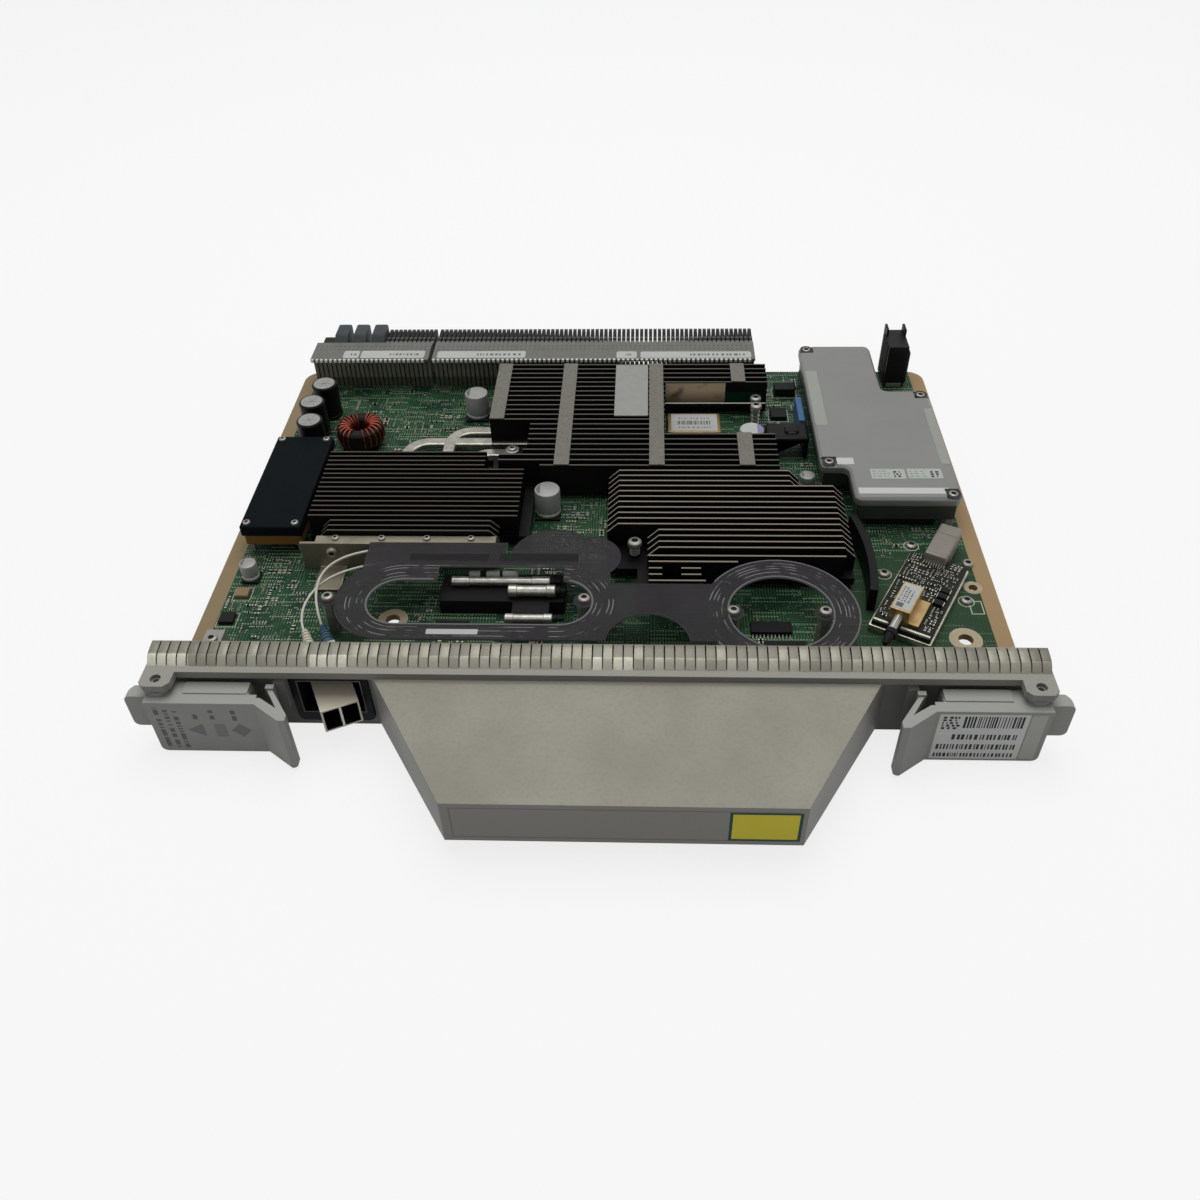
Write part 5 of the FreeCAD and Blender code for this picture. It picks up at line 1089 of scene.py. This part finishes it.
def make_boots():
    """Bend-relief boots: a collar, then rings that narrow to the fibre."""
    length, rings = 11.0, 5
    profile = [(0, 0), (1.9, 0), (2.0, 0.2), (2.0, 2.4)]
    for index in range(rings):
        start = 2.6 + index * 1.6
        radius = 1.95 - 0.17 * index
        profile += [(radius - 0.35, start), (radius - 0.35, start + 0.4)]
        profile += [(radius, start + 0.5), (radius - 0.1, start + 1.5)]
    profile += [(0.9, length), (0, length)]
    for colour in ROUTES:
        node = colour + "_boot"
        matrix = at(*middle(box_of(node)), PORT_TURN) @ ALONG_Y @ at(0, 0, -length / 2)
        shape = bmesh.new()
        place(shape, turned(profile, 20), 0, matrix)
        piece(colour + "_strain_boot", shape, ["boot_" + colour], [node])


def make_fibres():
    for colour, route in ROUTES.items():
        strand = wire(colour + "_pigtail", "fibre_jacket", route, FIBRE_RADIUS, [colour + "_fibre"])


def make_splices():
    """Splice tubes with thicker ends, their rubber boots, and a white sleeve with two dark bands."""
    shape = bmesh.new()
    for foot, radius, run in lying("splice_tubes"):
        waist, near, far = radius - 0.25, 0.18 * run, 0.82 * run
        place(shape, turned([
            (0, 0), (radius - 0.3, 0), (radius, 0.3), (radius, near), (waist, near + 0.3),
            (waist, far - 0.3), (radius, far), (radius, run - 0.3), (radius - 0.3, run), (0, run),
        ], 20), 0, foot)
    piece("splice_tube_set", shape, ["tube_bright"], ["splice_tubes"])
    shape = bmesh.new()
    for foot, radius, run in lying("splice_boots"):
        place(shape, turned([
            (0, 0), (radius, 0), (radius, 0.35 * run), (0.75 * radius, 0.45 * run),
            (0.7 * radius, 0.9 * run), (0.5 * radius, run), (0, run),
        ], 16), 0, foot)
    piece("splice_boot_set", shape, ["boot_rubber"], ["splice_boots"])
    shape = bmesh.new()
    for foot, radius, run in lying("label_sleeve"):
        ends = [(0, 0), (radius - 0.2, 0), (radius, 0.2), (radius, run - 0.2), (radius - 0.2, run), (0, run)]
        place(shape, turned(ends, 20), 0, foot)
        inner, rim = radius - 0.1, radius + 0.03
        for start, end in ((4.0, 6.2), (11.0, 12.0)):
            place(shape, turned([(inner, start), (rim, start), (rim, end), (inner, end)], 20), 1, foot)
    piece("sleeve_banded", shape, ["sleeve_white", "recess_dark"], ["label_sleeve"])


def make_laser_boot():
    shape = bmesh.new()
    place(shape, turned([
        (0, -3.5), (0.7, -3.5), (1.0, -3.1), (1.3, -1.2), (1.75, 1.0), (2.1, 1.2), (2.1, 3.3), (1.9, 3.5),
        (0, 3.5),
    ], 20), 0, at(*middle(box_of("laser_boot")), LASER_TURN) @ ALONG_Y)
    piece("nozzle_boot", shape, ["boot_rubber"], ["laser_boot"])


# Small parts on the boards, with sizes as length, width and height

dice = random.Random(12)
COMMON_SIZE = (1.0, 0.5, 0.35)
PART_SIZES = ((0.6, 0.35, 0.25), COMMON_SIZE, COMMON_SIZE, COMMON_SIZE, (1.6, 0.8, 0.5), (2.0, 1.25, 0.6))
PART_LOOKS = ("ceramic_tan", "recess_dark", "chip_black", "recess_grey", "pale_metal")
BODY_LOOKS = (0, 1, 1, 2, 3, 3)
CHIP_LOOK, END_LOOK = 2, 4


def chip_part(shape, x, y, base, size, upright, matrix):
    """A chip part: a body between two plated ends, lying along X or along Y."""
    long, wide, tall = size
    look = dice.choice(BODY_LOOKS)
    spin = at(x, y, base, 90 if upright else 0)
    spin = spin if matrix is None else matrix @ spin
    end = 0.2 * long
    body = block((end - long / 2, -0.46 * wide, 0), (long / 2 - end, 0.46 * wide, 0.95 * tall))
    place(shape, body, look, spin)
    for side in (-1, 1):
        near, far = sorted((side * (long / 2 - end), side * long / 2))
        place(shape, block((near, -wide / 2, 0), (far, wide / 2, tall)), END_LOOK, spin)


def scatter(shape, zones, sizes, base, taken, matrix=None):
    """Short rows of like parts in each zone, kept clear of what is there already."""
    gap = 0.25
    for left, front, right, rear, rows in zones:
        for _ in range(rows):
            size = dice.choice(sizes)
            upright = dice.random() < 0.6
            wide, deep = (size[1], size[0]) if upright else (size[0], size[1])
            x = dice.uniform(left, right)
            y = dice.uniform(front, rear)
            along_row = dice.random() < 0.5
            for _ in range(dice.randint(1, 5)):
                low_x, high_x = x - wide / 2 - gap, x + wide / 2 + gap
                low_y, high_y = y - deep / 2 - gap, y + deep / 2 + gap
                inside = low_x > left and high_x < right and low_y > front and high_y < rear
                if inside and all(low_x > box[2] or high_x < box[0] or low_y > box[3] or high_y < box[1]
                                  for box in taken):
                    taken.append((low_x, low_y, high_x, high_y))
                    chip_part(shape, x, y, base, size, upright, matrix)
                x += wide + 2.4 * gap if along_row else 0.0
                y += 0.0 if along_row else deep + 2.4 * gap


def make_board_parts():
    """Zones are left, front, right, rear and a number of rows; holes and chips are kept free."""
    above = {"main_board", "faceplate", "fibre_tray", "white_fibre", "blue_fibre", "finger_strip", *LEVERS}
    reach = 11.6
    taken = [(-93.0, 27.0, -66.0, 52.0), (118.6, 25.5, 132.0, 38.6), (128.6, 53.6, 137.6, 63.0)]
    for node in sorted(set(SLOT_OF) - above):
        taken += [(low.x, low.y, high.x, high.y) for low, high in solids(node) if low.z < reach]
    shape = bmesh.new()
    scatter(shape, (
        (-134.5, 32.0, -104.0, 74.0, 130), (-122.0, 9.0, -98.0, 32.0, 60), (-134.0, 124.0, -92.0, 190.0, 150),
        (-92.0, 124.0, -48.0, 190.0, 150), (60.0, 100.0, 84.5, 203.0, 170), (84.5, 84.0, 134.0, 92.0, 50),
        (-66.0, 22.0, -10.0, 52.0, 130), (44.0, 12.0, 80.0, 46.0, 14), (-27.0, 56.0, 4.0, 109.0, 120),
        (92.0, 70.0, 134.0, 88.0, 26), (92.0, 10.0, 118.0, 40.0, 8),
    ), PART_SIZES, BOARD_TOP, taken)
    piece("board_parts", shape, PART_LOOKS)


def make_laser_parts():
    """Three coils, many small parts, a split rail at the front and a row of leads at the rear."""
    def add(make, left, right, front, rear, tall, look=END_LOOK):
        place(shape, make((left, front, LASER_TOP), (right, rear, LASER_TOP + tall)), look, LASER_FRAME)

    shape = bmesh.new()
    for x, y in ((7.2, 4.6), (7.2, 1.2), (7.0, -2.6)):
        add(lambda low, high: slab(low, high, 0.15), x - 1.7, x + 1.7, y - 1.3, y + 1.3, 1.4, CHIP_LOOK)
        for side in (-1.95, 1.7):
            add(block, x + side, x + side + 0.25, y - 1.1, y + 1.1, 1.0)
    taken = [(5.0, -4.2, 9.2, 6.2), (-6.0, -20.9, 5.3, -3.2), (-5.6, 16.8, 3.6, 21.0)]
    scatter(shape, (
        (-9.9, -3.0, 9.9, 17.0, 420), (5.4, -19.0, 9.9, -3.0, 110), (-9.9, -19.0, -6.0, -3.0, 80),
        (-9.9, 16.8, -5.6, 20.6, 40), (3.6, 16.8, 9.9, 20.6, 50),
    ), PART_SIZES[1:5], LASER_TOP, taken, LASER_FRAME)
    for left, right in ((-9.9, -4.6), (-0.4, 9.9)):
        add(lambda low, high: slab(low, high, 0.12), left, right, -20.8, -19.9, 0.9)
    for step in range(9):
        x = -4.6 + step * 0.9
        add(block, x, x + 0.4, 16.2, 17.6, 0.7)
    piece("laser_parts", shape, PART_LOOKS)


def pins(shape, look, low, high, count):
    """Bent leads along the front and rear of a chip."""
    half = 0.22
    for index in range(count):
        x = low.x + (high.x - low.x) * (index + 0.5) / count
        for edge, way in ((low.y, -1), (high.y, 1)):
            for start, end, foot, top in ((0.0, 0.5, 0.1, 0.75), (0.4, 1.1, 0.0, 0.18)):
                front, rear = sorted((edge + way * start, edge + way * end))
                place(shape, block((x - half, front, low.z + foot), (x + half, rear, low.z + top)), look)


def outline(shape, look, low, high, line=0.22):
    """A thin printed frame on the board round a part."""
    base, top = BOARD_TOP, BOARD_TOP + 0.04
    for edge in (low.y, high.y - line):
        place(shape, block((low.x, edge, base), (high.x, edge + line, top)), look)
    for edge in (low.x, high.x - line):
        place(shape, block((edge, low.y + line, base), (edge + line, high.y - line, top)), look)


def make_board_chips():
    """Black chips, long ones with leads and the rest in printed frames; a gold one and an amber one."""
    margin = Vector((0.9, 0.9, 0))
    black, lead, gold, amber, silk = range(5)
    shape = bmesh.new()
    for low, high in solids("board_chips"):
        size = high - low
        large = size.x > 20
        look = gold if large else amber if low.y > 48 and high.x < -120 else black
        place(shape, slab(low, high, 0.25, 2), look)
        if size.x > 1.8 * size.y and not large:
            pins(shape, lead, low, high, 11)
        elif not large:
            outline(shape, silk, low - margin, high + margin)
    outline(shape, silk, Vector((130.0, 44.6, 0)), Vector((134.6, 51.4, 0)), 0.35)
    looks = ["chip_black", "pale_metal", "gold_plate", "ceramic_tan", "board_print"]
    piece("board_chip_set", shape, looks, ["board_chips"])


def make_plated_rings():
    """Bare plating round the board's holes, and printed circles round its screws."""
    rise = 0.05
    shape = bmesh.new()
    for x, y, inner, outer in ((-72.5, 39.7, 2.55, 5.4), (125.3, 32.1, 2.55, 5.6), (133.3, 58.4, 1.6, 3.3)):
        place(shape, flat_ring(inner, outer, rise, 40), 0, at(x, y, BOARD_TOP))
    for x, y in ((102.8, 65.4), (129.4, 51.1), (105.8, 24.2), (115.4, 81.4)):
        place(shape, flat_ring(2.55, 2.85, rise, 32), 1, at(x, y, BOARD_TOP))
    piece("plated_rings", shape, ["hole_plating", "board_print"])


# Blank labels, with plain bars where print would be; places are left, right, front and rear

def bars(shape, look, low, high, wide):
    """A row of plain bars along X."""
    x = low[0]
    while x < high[0] - wide:
        width = wide * dice.uniform(0.4, 1.4)
        place(shape, block((x, low[1], low[2]), (x + width, high[1], high[2])), look)
        x += width + wide * dice.uniform(0.4, 1.2)


def label(shape, level, left, right, front, rear, corner, look=0, matrix=None):
    place(shape, card((left, front, level), (right, rear, level + FILM), corner), look, matrix)


def print_bars(shape, level, left, right, front, rear, wide, look=1):
    bars(shape, look, (left, front, level + FILM), (right, rear, level + FILM + INK), wide)


def make_stiffener_labels():
    shape = bmesh.new()
    level = box_of("left_stiffener")[1].z
    for left, right, front, rear, wide in (
        (-119.1, -112.0, 190.4, 196.7, 0.9), (-111.2, -82.6, 190.4, 196.7, 0.9),
        (-76.9, -37.4, 190.4, 196.2, 1.2), (3.0, 12.0, 190.1, 195.7, 0.9), (13.6, 62.3, 190.1, 195.5, 1.2),
    ):
        label(shape, level, left, right, front, rear, 1.0)
        y = (front + rear) / 2
        print_bars(shape, level, right - (right - left) * 0.55, right - 1.2, y - 0.8, y + 0.8, wide)
    piece("stiffener_labels", shape, ["label_paper", "recess_grey"])


def make_cover_labels():
    """Two strips of tape, and two tags with fine and bold rows of bars."""
    shape = bmesh.new()
    level = box_of("module_cover")[1].z
    for strip in ((84.7, 89.6, 139.4, 181.0), (129.9, 133.5, 112.8, 151.4)):
        label(shape, level, *strip, 0.8)
    for left, right, front, rear in ((102.0, 115.0, 103.2, 109.4), (115.9, 128.9, 103.4, 109.6)):
        label(shape, level, left, right, front, rear, 0.3, 1)
        for row in (104.6, 106.2, 107.8):
            print_bars(shape, level, left + 0.8, left + 7.4, row, row + 0.35, 1.1, 2)
        for row in (104.2, 105.6, 107.0):
            print_bars(shape, level, left + 8.6, left + 12.4, row, row + 1.0, 0.9, 3)
    piece("cover_labels", shape, ["cover_tape", "cover_tag", "recess_grey", "label_print"])


def make_lever_label():
    """Paper and tape on the right lever's front, with rows of bars given as left, right, low and high."""
    shape = bmesh.new()
    back = LEVER_FACE - FILM
    for look, (left, right, low, high) in enumerate(((105.2, 132.2, 1.7, 22.3), (132.7, 137.4, 1.9, 22.1))):
        place(shape, slab((left, back, low), (right, LEVER_FACE, high), 0.02), look)
    rows = [(112.8, 131.4, 16.2, 21.4, 0.55), (110.4, 130.4, 10.8, 13.2, 0.7), (106.4, 131.0, 6.2, 8.6, 0.6),
            (106.2, 130.6, 2.6, 4.4, 0.6)]
    rows += [(106.4, 111.8, 15.6 + row * 1.2, 16.5 + row * 1.2, 0.8) for row in range(5)]
    for left, right, low, high, wide in rows:
        bars(shape, 2, (left, back - INK, low), (right, back, high), wide)
    piece("lever_label", shape, ["label_paper", "cover_tape", "label_print"], body="right_lever")


def make_chip_labels():
    """Labels on the chip in the heatsink's window, on the laser and on the fibre tray."""
    shape = bmesh.new()
    level = 11.0
    label(shape, level, 27.0, 46.6, 153.0, 165.6, 0.3)
    print_bars(shape, level, 29.4, 44.4, 157.6, 160.6, 0.55)
    for row in (155.2, 162.0):
        print_bars(shape, level, 30.0, 44.0, row, row + 0.7, 0.9)
    level = box_of("laser_package")[1].z
    label(shape, level, -5.1, 0.9, -17.9, -4.3, 0.3, 0, LASER_FRAME)
    for x in (-4.3, -3.2, -2.2, -0.9):
        column = bmesh.new()
        print_bars(column, level, -14.0, -6.0, -0.3, 0.3, 0.7)
        place(shape, column, 1, LASER_FRAME @ at(x, 0, 0, 90))
    mark = block((-4.4, -17.0, level + FILM), (-2.0, -14.8, level + FILM + INK))
    place(shape, mark, 1, LASER_FRAME)
    label(shape, box_of("fibre_tray")[1].z, -55.8, -38.7, 18.0, 20.4, 0.2)
    piece("chip_labels", shape, ["label_paper", "recess_grey"])


def make_can_sticker():
    """A round sticker with a coloured segment on the chip can behind the window."""
    reach = 4.5
    can = next(box for box in solids("chip_capacitors") if box[0].x > 50 and box[0].y > 130)
    top = at(*middle(can).xy, can[1].z)
    shape = bmesh.new()
    place(shape, turned([(0, 0), (reach, 0), (reach, FILM), (0, FILM)], 32), 0, top)
    place(shape, plate(arc(reach, -60, 60), FILM, FILM + INK, 0.004), 1, top)
    piece("can_sticker", shape, ["label_paper", "sticker_lavender"])


# Port bezel, edge tabs and other trim

def make_bezel():
    """The port's frame, its sleeve and dark back, and a pale line round the opening."""
    def surround(make, wall, front, back, look):
        for edge in (bottom - wall, top):
            place(shape, make((left - wall, front, edge), (right + wall, back, edge + wall)), look)
        for edge in (left - wall, right):
            place(shape, make((edge, front, bottom), (edge + wall, back, top)), look)

    rim, deep, lap = 2.65, 1.2, 0.2
    low, high = box_of("port_bezel")
    flange = low.y + deep
    left, right, bottom, top = low.x + rim, high.x - rim, 7.4, 21.4
    border = round_corners(block(low, (high.x, flange, high.z)), 2.4, lambda spot: True)
    across, upward = Vector((1, 0, 0)), Vector((0, 0, 1))
    for cut in (left * across, right * across, bottom * upward, top * upward):
        bmesh.ops.bisect_plane(border, geom=[*border.verts, *border.edges, *border.faces],
                               plane_co=cut, plane_no=cut.normalized())
    middles = [(face, face.calc_center_median()) for face in border.faces]
    opening = [face for face, spot in middles if left < spot.x < right and bottom < spot.z < top]
    bmesh.ops.delete(border, geom=opening, context="FACES")
    bmesh.ops.bridge_loops(border, edges=[edge for edge in border.edges if edge.is_boundary])
    bmesh.ops.recalc_face_normals(border, faces=border.faces)
    shape = bmesh.new()
    place(shape, soften(border, 0.25))
    surround(slab, 0.9, flange - lap, high.y, 0)
    place(shape, slab((left - lap, high.y - 0.8, bottom - lap), (right + lap, high.y - 0.1, top + lap), 0.05))
    surround(block, 0.35, low.y - 0.04, low.y + 0.1, 1)
    piece("bezel_frame", shape, ["bezel_black", "recess_grey"], ["port_bezel"])


def make_edge_tabs():
    """Bright square ends of the contacts along the front edge of each stiffener."""
    shape = bmesh.new()
    for node in ("left_stiffener", "right_stiffener"):
        low, high = box_of(node)
        for index in range(int((high.x - low.x) / WAFER_PITCH)):
            x = low.x + 0.5 + index * WAFER_PITCH
            place(shape, block((x, low.y - 0.9, high.z - 1.1), (x + 1.1, low.y + 0.3, high.z + 0.1)))
    piece("edge_tabs", shape, ["tab_white"])


def make_cover_recesses():
    """Flat rings of painted shade round the cover's screws, for the recesses they sit in."""
    shape = bmesh.new()
    level = box_of("module_cover")[1].z
    for node in ("pan_head_screws", "small_screws"):
        for low, high in solids(node):
            if low.x > 80 and high.z > 21:
                x, y, _ = middle((low, high))
                place(shape, flat_ring(1.7, 2.7, 0.04, 28), 0, at(x, y, level))
    piece("cover_recesses", shape, ["socket_grey"])


def make_guide_ribs():
    """Ribs, a dark window of painted shade for the recess in its front, a foot and a rounded side on the
    guide socket.
    """
    low, high = box_of("guide_socket")
    front, inside = low.y, low.y + 0.3
    shape = bmesh.new()
    for step in range(4):
        y = low.y + 2.2 + step * 3.0
        place(shape, slab((low.x - 0.5, y, low.z + 1.5), (low.x + 0.3, y + 1.2, high.z - 3.0), 0.2))
    # The window is a dark slab of painted shade, where the socket's front has a recess.
    window = (low.x + 1.7, front - 0.06, high.z - 10.5), (high.x - 1.7, inside, high.z - 4.5)
    foot = (low.x + 0.9, front - 0.25, low.z + 0.3), (high.x - 0.9, inside, low.z + 2.2)
    side = (high.x - 1.0, low.y + 1.0, low.z + 1.0), (high.x + 1.5, high.y - 1.0, high.z - 6.0)
    place(shape, slab(*window, 0.05), 1)
    place(shape, slab(*foot), 2)
    place(shape, slab(*side, 1.2, 3), 3)
    piece("guide_ribs", shape, ["socket_grey", "recess_dark", "recess_grey", "socket_black"])


def make_clip_fold():
    top = box_of("shield_clip")[1].z
    shape = bmesh.new()
    place(shape, slab((-4.6, 30.6, top - 0.02), (2.6, 30.9, top + 0.03), 0.01), 0, LASER_FRAME)
    piece("clip_fold", shape, ["recess_grey"])


def make_strap_plug():
    """The plug that holds the strap, with a pale line on its front."""
    box = box_of("fibre_strap")
    x, y, _ = middle(box)
    top = box[1].z
    shape = bmesh.new()
    place(shape, slab((x - 1.0, y - 2.0, top - 0.6), (x + 4.6, y + 2.6, top + 0.9), 0.5, 2))
    place(shape, slab((x + 0.2, y - 2.1, top - 0.2), (x + 3.4, y - 1.9, top + 0.5), 0.05), 1)
    piece("strap_plug", shape, ["guide_black", "recess_grey"])


# Studio, in metres

def make_floor():
    """A pale floor that the camera sees as nearly white, and that keeps the object's shadow."""
    half, drop, whiten = 4.0, 0.0002, 0.8
    ground = bmesh.new()
    bmesh.ops.create_grid(ground, x_segments=1, y_segments=1, size=half)
    bmesh.ops.translate(ground, vec=(0, 0, -drop), verts=ground.verts)
    mesh = bpy.data.meshes.new("floor")
    ground.to_mesh(mesh)
    ground.free()
    finish = Finish("floor_paint", (0.9, 0.9, 0.9, 1.0), 0.8)
    finish.paint(finish.noise(400.0) * 0.1, (0.86, 0.86, 0.86, 1.0))
    seen, glossy, through = finish.rays("Camera", "Glossy", "Transmission")
    share = (seen + glossy + through).math("MINIMUM", 1.0) * whiten
    glow = finish.add("ShaderNodeEmission", None, {"Color": WHITE, "Strength": 1.0})
    mix = finish.add("ShaderNodeMixShader", None, {0: share, 1: finish.shader.outputs[0], 2: glow.outputs[0]})
    finish.join(mix.outputs[0], finish.tree.nodes["Material Output"].inputs["Surface"])
    mesh.materials.append(finish.material)
    floor = bpy.data.objects.new("floor", mesh)
    bpy.context.scene.collection.objects.link(floor)


def make_world():
    """Dim light all round, from a sky that the camera and glossy faces see as white."""
    world = bpy.data.worlds.new("studio")
    bpy.context.scene.world = world
    world.use_nodes = True
    graph = Graph(world.node_tree)
    dim = graph.add("ShaderNodeBackground", None, {"Color": WHITE, "Strength": 0.27})
    bright = graph.add("ShaderNodeBackground", None, {"Color": WHITE, "Strength": 1.0})
    seen, glossy = graph.rays("Camera", "Glossy")
    mix = graph.add("ShaderNodeMixShader", None,
                    {0: seen.math("MAXIMUM", glossy), 1: dim.outputs[0], 2: bright.outputs[0]})
    graph.join(mix.outputs[0], graph.tree.nodes["World Output"].inputs["Surface"])


def make_lamps():
    for name, power, size, spot, aim in (
        ("overhead", 8.8, 1.0, (0.0, 0.35, 1.2), (0.0, 0.05, 0.0)),
        ("front_fill", 0.7, 0.9, (-0.3, -1.0, 0.7), (0.0, 0.0, 0.0)),
    ):
        lamp = bpy.data.lights.new(name, "AREA")
        lamp.energy = power
        lamp.shape = "SQUARE"
        lamp.size = size
        holder = bpy.data.objects.new(name, lamp)
        holder.location = spot
        holder.rotation_euler = (Vector(aim) - Vector(spot)).to_track_quat("-Z", "Y").to_euler()
        bpy.context.scene.collection.objects.link(holder)


def make_camera():
    """The photograph's viewpoint: place in millimetres, turns in degrees."""
    spot = Vector((15.644, -234.539, 272.306)) * MM
    pitch, roll, yaw = (math.radians(turn) for turn in (42.782, -1.7206, 3.108))
    swing = Matrix.Rotation(yaw, 3, "Z")
    right = swing @ Vector((1, 0, 0))
    ahead = swing @ Vector((0, math.cos(pitch), -math.sin(pitch)))
    up = swing @ Vector((0, math.sin(pitch), math.cos(pitch)))
    level = math.cos(roll) * right + math.sin(roll) * up
    upright = math.cos(roll) * up - math.sin(roll) * right
    lens = bpy.data.cameras.new("camera")
    lens.sensor_width = 36.0
    lens.lens = 32.7
    lens.clip_start = 0.01
    camera = bpy.data.objects.new("camera", lens)
    turn = Matrix((level, upright, -ahead)).transposed().to_4x4()
    camera.matrix_world = Matrix.Translation(spot) @ turn
    bpy.context.scene.collection.objects.link(camera)
    bpy.context.scene.camera = camera


# The small parts and the labels draw from one seeded set of dice, so their order matters
for make in (
    make_rounded_copies, make_lever_ridges, make_finger_strip, make_heat_pipes, make_rear_sink,
    make_front_sink, make_screws, make_sink_screws, make_sink_spring, make_pivot_pins, make_bulk_capacitors,
    make_chip_capacitors, make_choke, make_boots, make_fibres, make_splices, make_laser_boot,
    make_board_parts, make_laser_parts, make_board_chips, make_plated_rings, make_stiffener_labels,
    make_cover_labels, make_lever_label, make_chip_labels, make_can_sticker, make_bezel, make_edge_tabs,
    make_cover_recesses, make_guide_ribs, make_clip_fold, make_strap_plug,
    make_floor, make_world, make_lamps, make_camera,
):
    make()
bpy.context.scene.view_settings.view_transform = "Standard"
